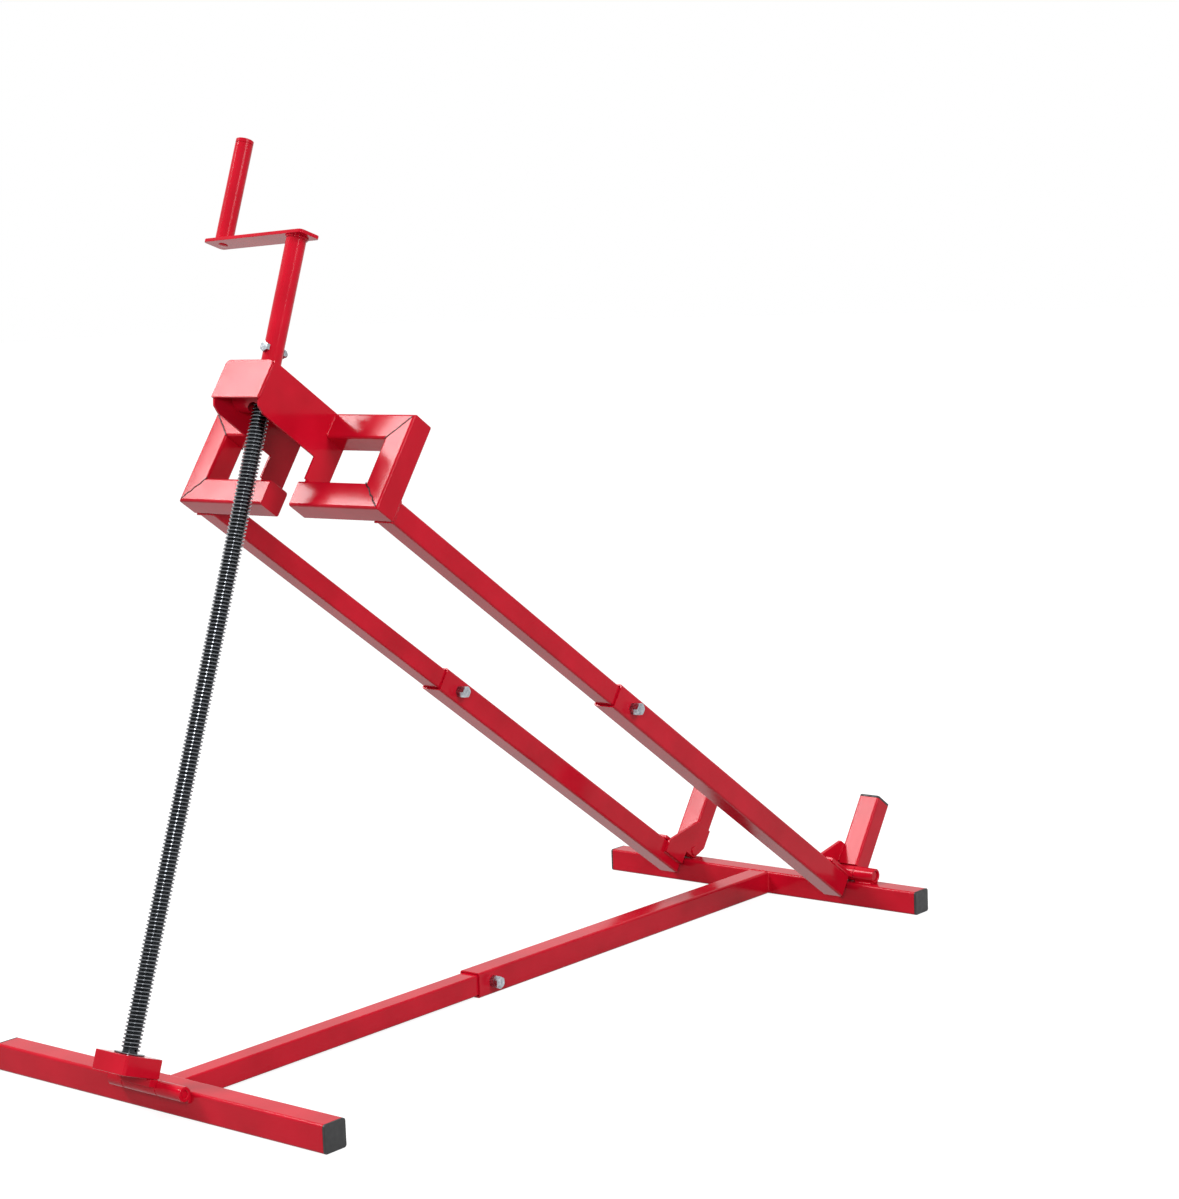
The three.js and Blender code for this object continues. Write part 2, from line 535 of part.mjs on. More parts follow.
// Top and end of the nose
const noseInside = half(NOSE_WIDTH) - NOSE_PLATE;
const noseDeck = [-noseFront + NOSE_PLATE + SEAT_GAP, -headRear];
add('nose_top', block([-noseInside, noseInside], noseDeck, [headTop - NOSE_PLATE, headTop])
  .subtract(block([-half(NOSE_SLOT_WIDTH), half(NOSE_SLOT_WIDTH)],
    [-nutAlong - NOSE_SLOT_FRONT, -nutAlong + NOSE_SLOT_REAR],
    [headTop - NOSE_PLATE - PAST, headTop + PAST])), 'paint', liftFrame);
const endShape = new THREE.Shape();
const endSide = half(NOSE_WIDTH);
const endLow = headTop - NOSE_END_DEPTH;
endShape.moveTo(-endSide, endLow);
endShape.lineTo(endSide, endLow);
endShape.lineTo(endSide, headTop - NOSE_CORNER);
endShape.absarc(endSide - NOSE_CORNER, headTop - NOSE_CORNER, NOSE_CORNER, 0, Math.PI / 2);
endShape.absarc(-endSide + NOSE_CORNER, headTop - NOSE_CORNER, NOSE_CORNER, Math.PI / 2, Math.PI);
endShape.closePath();
add('nose_end', plateY(endShape, [-noseFront, -noseFront + NOSE_PLATE]), 'paint', liftFrame);

// Barrel nut that hangs across the nose, bored clear of the screw
const nutSpanX = noseInside - NUT_END_GAP;
add('lifting_nut', barX(NUT_RADIUS, [-nutSpanX, nutSpanX], 0, 0, 40)
  .subtract(barZ(NUT_BORE, [-NUT_RADIUS - PAST, NUT_RADIUS + PAST], 0, 0, 40)), 'paint', nutFrame);

export default lift;
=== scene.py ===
"""Looks of a lawn mower lift: modelled pieces, finishes, studio and camera.

Lengths are millimetres in each piece's own frame, and each piece is placed in the row frame in metres.
"""

import logging
import math
import random
from contextlib import contextmanager
from dataclasses import dataclass, field
from enum import Enum
from typing import Callable, Iterator, Sequence

import bmesh
import bpy
import numpy as np
from mathutils import Matrix, Vector

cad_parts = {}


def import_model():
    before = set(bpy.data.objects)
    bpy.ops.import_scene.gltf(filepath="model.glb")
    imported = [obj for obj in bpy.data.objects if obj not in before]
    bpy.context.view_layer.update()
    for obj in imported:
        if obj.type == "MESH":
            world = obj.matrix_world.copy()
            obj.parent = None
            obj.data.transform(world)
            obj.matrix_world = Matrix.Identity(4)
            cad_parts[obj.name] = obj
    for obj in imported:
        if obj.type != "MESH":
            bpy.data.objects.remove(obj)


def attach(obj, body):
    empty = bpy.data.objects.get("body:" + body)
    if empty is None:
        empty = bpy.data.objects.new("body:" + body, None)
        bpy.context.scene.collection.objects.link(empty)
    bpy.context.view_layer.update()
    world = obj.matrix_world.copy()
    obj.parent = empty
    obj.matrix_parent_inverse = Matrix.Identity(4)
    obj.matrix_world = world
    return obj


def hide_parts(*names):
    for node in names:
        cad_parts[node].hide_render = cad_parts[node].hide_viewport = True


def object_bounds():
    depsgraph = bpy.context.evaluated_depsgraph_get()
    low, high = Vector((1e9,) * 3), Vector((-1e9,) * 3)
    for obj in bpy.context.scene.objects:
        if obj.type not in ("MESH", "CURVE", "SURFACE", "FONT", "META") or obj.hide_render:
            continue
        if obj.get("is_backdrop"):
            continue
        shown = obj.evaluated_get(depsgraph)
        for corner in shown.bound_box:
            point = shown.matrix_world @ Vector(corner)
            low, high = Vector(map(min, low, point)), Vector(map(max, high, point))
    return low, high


LOG = logging.getLogger("lift")
MM = 0.001

# Square tubes
TUBE = 30.0
TUBE_WALL = 2.0
TUBE_CORNER = 3.0
SLIDER = 25.0
SLIDER_CORNER = 2.5
RIM = 0.45
PLUG_FLANGE = 3.0
PLUG_DEPTH = 14.0

# Floor frame
BAR_LENGTH = 500.0
BASE_SHIFT = 4.0
SLEEVE_FRONT = 489.0
REAR_FRONT = 1074.0
BASE_OVERLAP = 130.0
BASE_BOLT_BACK = 24.0

# Lift frame
LIFT_ANGLE = math.radians(35.0)
LIFT_WIDTH = 300.0
HINGE_Y = 1089.0
HINGE_Z = 40.3
RAIL_START = 14.5
RAIL_SLEEVE_END = 576.0
RAIL_OVERLAP = 130.0
RAIL_DROP = 24.5
RAIL_SIDE = 135.0
RAIL_BOLT_BACK = 33.0
HINGE_RADIUS = 9.5
HINGE_PIN = 6.0
HINGE_BARREL = 30.0
LEAF_LENGTH = 62.0
LEAF_THICKNESS = 5.0
LUG = 5.0
STOP_Y = 10.0
STOP_TOP = 110.0

# Head and nose
HEAD_FRONT = 1037.0
HEAD_REAR = 1007.0
HEAD_LOW = -37.5
HEAD_TOP = 76.0
HEAD_SLOT = 42.0
MITRE_GAP = 0.2
NOSE_WIDTH = 70.0
NOSE_FRONT = 1145.0
NOSE_PLATE = 3.0
NOSE_DEPTH = 56.5
NOSE_END_DEPTH = 46.0
NOSE_CORNER = 6.0
NUT_ALONG = 1108.0

# Lead screw, nut and swivel
LEAN = math.radians(19.9524)
SWIVEL_Y = -8.5
SWIVEL_Z = 30.0
SCREW_OFFSET = 28.0
SCREW_RADIUS = 10.0
JOURNAL_RADIUS = 8.0
THREAD_PITCH = 4.0
THREAD_DEPTH = 2.25
NUT_Y = 212.066
NUT_Z = 719.647
NUT_RADIUS = 18.0
NUT_BORE = 14.5
NUT_HALF = 31.7
SWIVEL_RADIUS = 8.0
SWIVEL_PIN = 4.0
SWIVEL_SHIFT = 7.0
SWIVEL_BARREL = 110.0
SWIVEL_MOVING = 50.0
SWIVEL_PAD = 16.0
BLOCK_WIDTH = 50.0
BLOCK_LOW = 8.2
BLOCK_TOP = 28.5
THRUST_RADIUS = 16.0
THRUST_THICKNESS = 1.5
COLLAR_RADIUS = 12.0
COLLAR_THICKNESS = 4.0

# Crank
CRANK_LOW = 752.0
CRANK_TOP = 899.0
CRANK_RADIUS = 11.0
CRANK_THROW = 127.0
CRANK_TURN = 5.5
ARM_LOW = 899.2
ARM_TOP = 903.2
ARM_TIP = 19.0
ARM_HEEL = 22.0
ARM_WIDTH = 28.0
ARM_CORNER = 5.0
GRIP_LOW = 903.5
GRIP_LENGTH = 117.0
GRIP_RADIUS = 10.0
GRIP_BORE = 7.8
CRANK_BOLT_UP = 774.0

# Bolts
BOLT_HEAD_RADIUS = 7.5
BOLT_HEAD = 5.3
WELD_NUT = 6.5
SMALL_HEAD_RADIUS = 5.8
SMALL_HEAD = 4.0

Point = tuple[float, float, float]
EdgeTest = Callable[[Vector, Vector], bool]


def half(size: float) -> float:
    """Half of a size."""
    return size / 2


class Frame(Enum):
    """Frames that the pieces are modelled in, each as (y, z, lean) from the foot's front face."""

    STAND = (0.0, 0.0, 0.0)
    LIFT = (HINGE_Y, HINGE_Z, LIFT_ANGLE)
    SCREW = (SWIVEL_Y, SWIVEL_Z, LEAN)
    NUT = (NUT_Y, NUT_Z, LEAN)

    def matrix(self) -> Matrix:
        """Matrix that carries millimetres in this frame to metres in the row frame."""
        y, z, lean = self.value
        place = Matrix.Translation((0, y - half(TUBE), z))
        return Matrix.Scale(MM, 4) @ place @ Matrix.Rotation(-lean, 4, "X")


class Slot(Enum):
    """Material slots of the record."""

    RED = "red_paint"
    PLASTIC = "black_plastic"
    ZINC = "zinc_plate"
    STEEL = "dark_steel"


class Side(Enum):
    """The two sides of the lift, with the sign of X on each."""

    RIGHT = 1
    LEFT = -1

    @property
    def label(self) -> str:
        """Word used in piece names."""
        return self.name.lower()

    def span(self, low: float, high: float) -> tuple[float, float]:
        """Span of X on this side, from distances off the middle."""
        return (low, high) if self is Side.RIGHT else (-high, -low)


def along(axis: int) -> EdgeTest:
    """Test for edges that run along one axis."""

    def test(a: Vector, b: Vector) -> bool:
        """True for an edge along the axis."""
        line = b - a
        return abs(line[axis]) > 0.999 * line.length > 0

    return test


def at(axis: int, *values: float) -> EdgeTest:
    """Test for edges that lie in planes across one axis."""

    def test(a: Vector, b: Vector) -> bool:
        """True for an edge in one of the planes."""
        return any(abs(a[axis] - v) < 0.01 and abs(b[axis] - v) < 0.01 for v in values)

    return test


class Workpiece:
    """One mesh piece while it is being modelled."""

    def __init__(self, name: str, points: Sequence[Point], faces: Sequence[Sequence[int]] = (),
                 edges: Sequence[tuple[int, int]] = ()) -> None:
        """Starts a piece from points and the faces or edges that join them.

        Args:
            name: Name of the piece.
            points: Points in millimetres.
            faces: Faces as lists of point numbers.
            edges: Edges as pairs of point numbers.
        """
        mesh = bpy.data.meshes.new(name)
        mesh.from_pydata([tuple(p) for p in points], list(edges), [list(f) for f in faces])
        self.obj = bpy.data.objects.new(name, mesh)
        bpy.context.scene.collection.objects.link(self.obj)

    def select(self) -> None:
        """Makes this the only selected piece."""
        bpy.ops.object.select_all(action="DESELECT")
        self.obj.select_set(True)
        bpy.context.view_layer.objects.active = self.obj

    @contextmanager
    def editing(self, mode: str = "EDGE") -> Iterator[None]:
        """Edit mode with nothing selected."""
        self.select()
        bpy.ops.object.mode_set(mode="EDIT")
        bpy.ops.mesh.select_mode(type=mode)
        bpy.ops.mesh.select_all(action="DESELECT")
        yield
        bpy.ops.object.mode_set(mode="OBJECT")

    def pick(self, test: EdgeTest) -> int:
        """Selects the edges that pass a test, in edit mode, and returns how many there are."""
        mesh = bmesh.from_edit_mesh(self.obj.data)
        found = 0
        for edge in mesh.edges:
            edge.select_set(test(edge.verts[0].co, edge.verts[1].co))
            found += edge.select
        mesh.select_flush_mode()
        bmesh.update_edit_mesh(self.obj.data)
        return found

    def extrude(self, way: Point) -> "Workpiece":
        """Extrudes the whole piece along a vector and closes it."""
        with self.editing("FACE"):
            bpy.ops.mesh.select_all(action="SELECT")
            bpy.ops.mesh.extrude_region_move(TRANSFORM_OT_translate={"value": way})
            bpy.ops.mesh.select_all(action="SELECT")
            bpy.ops.mesh.normals_make_consistent(inside=False)
        return self

    def bevel(self, test: EdgeTest, width: float, segments: int = 2) -> "Workpiece":
        """Rounds the edges that pass a test."""
        with self.editing("EDGE"):
            if self.pick(test):
                bpy.ops.mesh.bevel(offset=width, segments=segments, affect="EDGES", clamp_overlap=True)
        return self

    def soften(self, width: float, angle: float = 40.0, segments: int = 2) -> "Workpiece":
        """Rounds every edge sharper than an angle in degrees."""
        with self.editing("EDGE"):
            bpy.ops.mesh.edges_select_sharp(sharpness=math.radians(angle))
            bpy.ops.mesh.bevel(offset=width, segments=segments, affect="EDGES", clamp_overlap=True)
        return self

    def cut(self, cutter: "Workpiece", operation: str = "DIFFERENCE") -> "Workpiece":
        """Cuts the piece with another one, which is used up."""
        self.select()
        modifier = self.obj.modifiers.new("cut", "BOOLEAN")
        modifier.object = cutter.obj
        modifier.operation = operation
        modifier.solver = "EXACT"
        bpy.ops.object.modifier_apply(modifier=modifier.name)
        bpy.data.objects.remove(cutter.obj)
        return self

    def join(self, *others: "Workpiece") -> "Workpiece":
        """Takes other pieces into this one."""
        self.select()
        for other in others:
            other.obj.select_set(True)
        bpy.ops.object.join()
        return self

    def copy(self, name: str) -> "Workpiece":
        """Copy of the piece with a mesh of its own."""
        self.select()
        bpy.ops.object.duplicate()
        twin = Workpiece.__new__(Workpiece)
        twin.obj = bpy.context.view_layer.objects.active
        twin.obj.name = twin.obj.data.name = name
        return twin

    def apply(self, matrix: Matrix) -> "Workpiece":
        """Moves or turns the piece and keeps its object at the origin."""
        self.select()
        self.obj.matrix_world = matrix
        bpy.ops.object.transform_apply(location=True, rotation=True, scale=True)
        return self

    def move(self, x: float, y: float, z: float) -> "Workpiece":
        """Moves the piece."""
        return self.apply(Matrix.Translation((x, y, z)))

    def paint_seam_shade(self) -> "Workpiece":
        """Marks a seam for painted shade: a dark colour that stands in for the shade in the mitre crease."""
        mesh = self.obj.data
        mark = mesh.attributes.new("painted_seam_shade", "FLOAT", "POINT")
        mark.data.foreach_set("value", np.ones(len(mesh.vertices), np.float32))
        return self

    def lay(self, axis: str) -> "Workpiece":
        """Turns a piece that runs along Z so that it runs along X or Y."""
        turn = {"X": Matrix.Rotation(math.pi / 2, 4, "Y"), "Y": Matrix.Rotation(-math.pi / 2, 4, "X"),
                "Z": Matrix.Identity(4)}
        return self.apply(turn[axis])


def plate(name: str, points: Sequence[Point], way: Point) -> Workpiece:
    """Plate cut to a flat outline and given a thickness along a vector."""
    return Workpiece(name, points, [range(len(points))]).extrude(way)


def rectangle(name: str, size: float, corner: float, steps: int = 4) -> Workpiece:
    """Flat square with rounded corners about the origin."""
    s = half(size)
    work = Workpiece(name, [(-s, -s, 0), (s, -s, 0), (s, s, 0), (-s, s, 0)], [range(4)])
    with work.editing("VERT"):
        bpy.ops.mesh.select_all(action="SELECT")
        bpy.ops.mesh.bevel(offset=corner, segments=steps, affect="VERTICES")
    return work


def square_tube(name: str, size: float, corner: float, length: float) -> Workpiece:
    """Square tube with open ends, standing on the origin along Z."""
    work = rectangle(name, size, corner)
    with work.editing("FACE"):
        bpy.ops.mesh.select_all(action="SELECT")
        bpy.ops.mesh.inset(thickness=TUBE_WALL)
        bpy.ops.mesh.delete(type="FACE")
    work.extrude((0, 0, length))
    return work.bevel(at(2, 0.0, length), RIM)


def box(name: str, x: tuple[float, float], y: tuple[float, float], z: tuple[float, float]) -> Workpiece:
    """Block between low and high values on each axis."""
    base = [(x[0], y[0], z[0]), (x[1], y[0], z[0]), (x[1], y[1], z[0]), (x[0], y[1], z[0])]
    return plate(name, base, (0, 0, z[1] - z[0]))


def lathe(name: str, profile: Sequence[tuple[float, float]], steps: int = 48) -> Workpiece:
    """Solid turned about Z from (radius, height) points."""
    points = [(r, 0.0, z) for r, z in profile]
    work = Workpiece(name, points, edges=[(i, i + 1) for i in range(len(points) - 1)])
    with work.editing("VERT"):
        bpy.ops.mesh.select_all(action="SELECT")
        bpy.ops.mesh.spin(steps=steps, angle=2 * math.pi, center=(0, 0, 0), axis=(0, 0, 1))
        bpy.ops.mesh.select_all(action="SELECT")
        bpy.ops.mesh.remove_doubles(threshold=0.001)
        bpy.ops.mesh.normals_make_consistent(inside=False)
    return work


def rod(name: str, radius: float, low: float, high: float, chamfer: float = RIM, steps: int = 48) -> Workpiece:
    """Round bar along Z with chamfered ends."""
    return lathe(name, [(0, low), (radius - chamfer, low), (radius, low + chamfer),
                        (radius, high - chamfer), (radius - chamfer, high), (0, high)], steps)


def ring(name: str, radius: float, bore: float, low: float, high: float, chamfer: float = RIM) -> Workpiece:
    """Round tube or washer along Z with chamfered ends."""
    return lathe(name, [(bore, low + chamfer), (bore + chamfer, low), (radius - chamfer, low),
                        (radius, low + chamfer), (radius, high - chamfer), (radius - chamfer, high),
                        (bore + chamfer, high), (bore, high - chamfer), (bore, low + chamfer)])


def hexagon(name: str, radius: float, low: float, high: float, turned_low: bool) -> Workpiece:
    """Hexagon along Z, with the corners of its top, and of its foot too if asked, turned off."""
    points = [(radius * math.cos(math.radians(60 * i)), radius * math.sin(math.radians(60 * i)), low)
              for i in range(6)]
    work = plate(name, points, (0, 0, high - low))
    flat = radius * math.cos(math.radians(30))
    drop = (radius - flat) * 0.75
    foot = flat if turned_low else radius + 1
    edge = low + drop if turned_low else low
    turned = lathe(name + "_turned", [(0, low), (foot, low), (radius + 1, edge),
                                      (radius + 1, high - drop), (flat, high), (0, high)], 36)
    return work.cut(turned, "INTERSECT").soften(0.15, 50, 1)


def bead(name: str, start: Point, end: Point, out: Point, width: float = 5.0, rise: float = 1.6,
         seed: int = 0) -> Workpiece:
    """Weld bead with ripples, along a line.

    Args:
        name: Name of the bead.
        start: Point where it starts.
        end: Point where it ends.
        out: Direction in which it stands up.
        width: Width across the bead.
        rise: Half of its height.
        seed: Number that picks its ripples.

    Returns:
        The bead as a workpiece.
    """
    luck = random.Random(seed)
    line = Vector(end) - Vector(start)
    length = line.length
    count = max(4, round(length / 1.9))
    profile = [(0.0, -0.4)]
    for i in range(count + 1):
        ripple = 0.42 + 0.07 * (i % 2) + luck.uniform(-0.05, 0.05)
        profile.append((ripple * width, length * i / count))
    profile.append((0.0, length + 0.4))
    work = lathe(name, profile, 12)
    ahead = line.normalized()
    up = Vector(out) - ahead * ahead.dot(Vector(out))
    up.normalize()
    across = up.cross(ahead)
    turn = Matrix((across, up, ahead)).transposed().to_4x4()
    squeeze = Matrix.Diagonal((1.0, rise / (width * 0.45), 1.0, 1.0))
    work.apply(squeeze)
    with work.editing("VERT"):
        bpy.ops.mesh.select_all(action="SELECT")
        bpy.ops.transform.vertex_random(offset=0.18, seed=seed)
    return work.apply(Matrix.Translation(start) @ turn)


def ragged(start: Point, end: Point, out: Point, seed: int) -> list[tuple[Point, Point, Point]]:
    """Line broken into short ones that wander from it, as a hand weld does."""
    luck = random.Random(seed)
    line = Vector(end) - Vector(start)
    across = line.cross(Vector(out)).normalized()
    count = max(3, round(line.length / 5))
    points = [tuple(Vector(start) + line * (i / count) + across * luck.uniform(-0.8, 0.8)) for i in range(count + 1)]
    return [(a, b, out) for a, b in zip(points, points[1:])]


def linear(code: str) -> tuple[float, float, float, float]:
    """Linear colour for a hex sRGB code."""
    parts = [int(code[i:i + 2], 16) / 255 for i in (1, 3, 5)]
    return (*(c / 12.92 if c <= 0.04045 else ((c + 0.055) / 1.055) ** 2.4 for c in parts), 1.0)


def add(tree: bpy.types.NodeTree, kind: str, settings: dict | None = None, **inputs: object) -> bpy.types.Node:
    """Adds a shader node, with settings and with inputs given as values or as sockets to link."""
    node = tree.nodes.new(kind)
    for key, value in (settings or {}).items():
        setattr(node, key, value)
    for key, value in inputs.items():
        wanted = key.replace("_", " ").title()
        socket = next(s for s in node.inputs if s.name.title() == wanted and s.enabled)
        if isinstance(value, bpy.types.NodeSocket):
            tree.links.new(value, socket)
        else:
            socket.default_value = value
    return node


def scaled_place(tree: bpy.types.NodeTree, period: float) -> bpy.types.NodeSocket:
    """Object place in units of a period given in millimetres."""
    place = add(tree, "ShaderNodeTexCoord")
    scale = 1 / (period * MM)
    return add(tree, "ShaderNodeVectorMath", {"operation": "SCALE"}, vector=place.outputs["Object"],
               scale=scale).outputs[0]


def noise(tree: bpy.types.NodeTree, period: float, detail: float = 2.0) -> bpy.types.NodeSocket:
    """Noise whose features are about a period in size, in millimetres."""
    return add(tree, "ShaderNodeTexNoise", vector=scaled_place(tree, period), scale=1.0,
               detail=detail).outputs[0]


def spread(tree: bpy.types.NodeTree, value: bpy.types.NodeSocket, low: float, high: float) -> bpy.types.NodeSocket:
    """Value from the middle of a noise spread between two limits."""
    return add(tree, "ShaderNodeMapRange", value=value, from_min=0.3, from_max=0.7, to_min=low,
               to_max=high).outputs[0]


def mixed(tree: bpy.types.NodeTree, factor: bpy.types.NodeSocket, first: str, second: str) -> bpy.types.NodeSocket:
    """Colour between two hex codes."""
    ramp = add(tree, "ShaderNodeValToRGB", fac=factor)
    ramp.color_ramp.elements[0].color = linear(first)
    ramp.color_ramp.elements[1].color = linear(second)
    return ramp.outputs[0]


def new_tree(name: str) -> tuple[bpy.types.Material, bpy.types.NodeTree, bpy.types.Node]:
    """New material with its tree and its Principled node."""
    material = bpy.data.materials.new(name)
    material.use_nodes = True
    return material, material.node_tree, material.node_tree.nodes["Principled BSDF"]


def wire(tree: bpy.types.NodeTree, node: bpy.types.Node, values: dict[str, object]) -> None:
    """Sets or links inputs of a node by name."""
    for key, value in values.items():
        if isinstance(value, bpy.types.NodeSocket):
            tree.links.new(value, node.inputs[key])
        else:
            node.inputs[key].default_value = value


@dataclass(frozen=True)
class SprayedPaint:
    """Red gloss paint sprayed on welded steel, with a little orange peel."""

    name: str = "gloss_paint_sprayed_red"
    deep: str = "#b80c22"
    full: str = "#cb1029"
    # dark colour of the painted shade on the marked mitre seams
    seam: str = "#3d060d"
    peel: float = 0.03

    def build(self) -> bpy.types.Material:
        """Material of the paint."""
        material, tree, surface = new_tree(self.name)
        cloud = spread(tree, noise(tree, 60, 3), 0, 1)
        peel = noise(tree, 6, 1)
        bump = add(tree, "ShaderNodeBump", strength=self.peel, distance=0.2 * MM, height=peel)
        # marked seams take the seam colour as painted shade in the mitre creases
        painted_seam_shade = add(tree, "ShaderNodeAttribute", {"attribute_name": "painted_seam_shade"})
        colour = add(tree, "ShaderNodeMix", {"data_type": "RGBA"}, factor=painted_seam_shade.outputs["Fac"],
                     a=mixed(tree, cloud, self.deep, self.full), b=linear(self.seam))
        wire(tree, surface, {
            "Base Color": next(output for output in colour.outputs if output.enabled),
            "Roughness": spread(tree, noise(tree, 25, 2), 0.12, 0.18),
            "Specular IOR Level": 0.11,
            "Normal": bump.outputs[0],
        })
        return material


@dataclass(frozen=True)
class MouldedPlastic:
    """Black polyethylene moulded end plugs with a fine grain."""

    name: str = "polyethylene_moulded_black"
    dark: str = "#0c0c0e"
    light: str = "#17181a"

    def build(self) -> bpy.types.Material:
        """Material of the plastic."""
        material, tree, surface = new_tree(self.name)
        bump = add(tree, "ShaderNodeBump", strength=0.25, distance=0.1 * MM, height=noise(tree, 0.6, 2))
        wire(tree, surface, {
            "Base Color": mixed(tree, spread(tree, noise(tree, 9, 3), 0, 1), self.dark, self.light),
            "Roughness": spread(tree, noise(tree, 5, 2), 0.42, 0.58),
            "Normal": bump.outputs[0],
        })
        return material


@dataclass(frozen=True)
class ZincPlate:
    """Bright zinc plated on forged bolts and nuts."""

    name: str = "zinc_plated_bright"
    dull: str = "#7d838a"
    bright: str = "#b9bdc2"

    def build(self) -> bpy.types.Material:
        """Material of the plating."""
        material, tree, surface = new_tree(self.name)
        wire(tree, surface, {
            "Base Color": mixed(tree, spread(tree, noise(tree, 4, 3), 0, 1), self.dull, self.bright),
            "Metallic": 1.0,
            "Roughness": spread(tree, noise(tree, 2.5, 2), 0.18, 0.34),
        })
        return material


@dataclass(frozen=True)
class RolledSteel:
    """Oiled steel with rolled threads, with painted shade that makes it darker down in the grooves."""

    name: str = "steel_rolled_oiled_root_shaded"
    painted_root_shade: str = "#303235"
    crest: str = "#707377"

    def build(self) -> bpy.types.Material:
        """Material of the steel."""
        material, tree, surface = new_tree(self.name)
        made = add(tree, "ShaderNodeAttribute", {"attribute_name": "made_at"})
        split = add(tree, "ShaderNodeSeparateXYZ", vector=made.outputs["Vector"])
        flat = add(tree, "ShaderNodeCombineXYZ", x=split.outputs[0], y=split.outputs[1])
        out = add(tree, "ShaderNodeVectorMath", {"operation": "LENGTH"}, vector=flat.outputs[0])
        # depth below the crest sets the painted shade, darkest at the thread roots
        depth = add(tree, "ShaderNodeMapRange", value=out.outputs["Value"], from_min=SCREW_RADIUS - THREAD_DEPTH,
                    from_max=SCREW_RADIUS, to_min=0.0, to_max=1.0)
        wire(tree, surface, {
            "Base Color": mixed(tree, depth.outputs[0], self.painted_root_shade, self.crest),
            "Metallic": 1.0,
            "Roughness": spread(tree, noise(tree, 6, 3), 0.15, 0.22),
        })
        return material


@dataclass
class Workshop:
    """The finishes, the patterns of repeated pieces, and the last steps that every piece goes through."""

    finishes: dict[Slot, bpy.types.Material]
    patterns: dict[Callable[[str], Workpiece], Workpiece] = field(default_factory=dict)

    @classmethod
    def open(cls) -> "Workshop":
        """Workshop with its finishes made."""
        return cls({Slot.RED: SprayedPaint().build(), Slot.PLASTIC: MouldedPlastic().build(),
                    Slot.ZINC: ZincPlate().build(), Slot.STEEL: RolledSteel().build()})

    def take(self, make: Callable[[str], Workpiece], name: str) -> Workpiece:
        """Copy of a piece of which there are several, modelled the first time that it is asked for."""
        if make not in self.patterns:
            self.patterns[make] = make(f"{make.__name__}_pattern")
        return self.patterns[make].copy(name)

    def clear(self) -> None:
        """Puts the patterns away."""
        for pattern in self.patterns.values():
            bpy.data.objects.remove(pattern.obj)

    def finish(self, work: Workpiece, frame: Frame, body: str, slot: Slot, *nodes: str) -> bpy.types.Object:
        """Places a piece, gives it its finish and sets it on its body.

        Args:
            work: The modelled piece.
            frame: Frame that it was modelled in.
            body: Body it moves with.
            slot: Material slot it takes.
            nodes: Nodes of the part that it stands for.

        Returns:
            The finished object.
        """
        obj, mesh = work.obj, work.obj.data
        made = np.empty(len(mesh.vertices) * 3, np.float32)
        mesh.vertices.foreach_get("co", made)
        mesh.attributes.new("made_at", "FLOAT_VECTOR", "POINT").data.foreach_set("vector", made)
        work.apply(frame.matrix())
        bpy.ops.object.shade_smooth_by_angle(angle=math.radians(32))
        flat = obj.modifiers.new("flat_faces", "WEIGHTED_NORMAL")
        flat.keep_sharp, flat.weight = True, 100
        bpy.ops.object.modifier_apply(modifier=flat.name)
        mesh.materials.clear()
        mesh.materials.append(self.finishes[slot])
        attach(obj, body)
        if nodes:
            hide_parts(*nodes)
        LOG.info("%s: %d faces on %s", obj.name, len(mesh.polygons), body)
        return obj


def bar_tube(name: str, front: float) -> Workpiece:
    """Square tube of a floor bar, across the lift."""
    length = BAR_LENGTH - 2 * PLUG_FLANGE
    tube = square_tube(name, TUBE, TUBE_CORNER, length)
    return tube.lay("X").move(-half(length), front + half(TUBE), half(TUBE))


def end_plug(name: str) -> Workpiece:
    """Moulded plug with a softened cap, cap up and seat at the origin along Z."""
    cap = rectangle(name, TUBE, TUBE_CORNER).extrude((0, 0, PLUG_FLANGE))
    cap.bevel(at(2, PLUG_FLANGE), 1.1, 3).bevel(at(2, 0.0), 0.3, 1)
    stem = rectangle(name + "_stem", TUBE - 2 * TUBE_WALL - 0.4, 1.0).extrude((0, 0, PLUG_DEPTH + 0.5))
    stem.move(0, 0, -PLUG_DEPTH).bevel(at(2, -PLUG_DEPTH), 1.0, 2)
    return cap.join(stem)


def clamp_bolt(name: str) -> Workpiece:
    """Hexagon bolt along Z, with its head above the weld nut that sits on the origin."""
    head = hexagon(name, BOLT_HEAD_RADIUS, WELD_NUT, WELD_NUT + BOLT_HEAD, False)
    return head.join(rod(name + "_shank", 4.0, -2.2, WELD_NUT + 1, 0.3, 24))


def weld_nut(name: str) -> Workpiece:
    """Hexagon nut standing on the origin along Z."""
    nut = hexagon(name, BOLT_HEAD_RADIUS, 0.0, WELD_NUT, False)
    return nut.cut(rod(name + "_bore", 4.3, -1, WELD_NUT + 1, 0.1, 24))


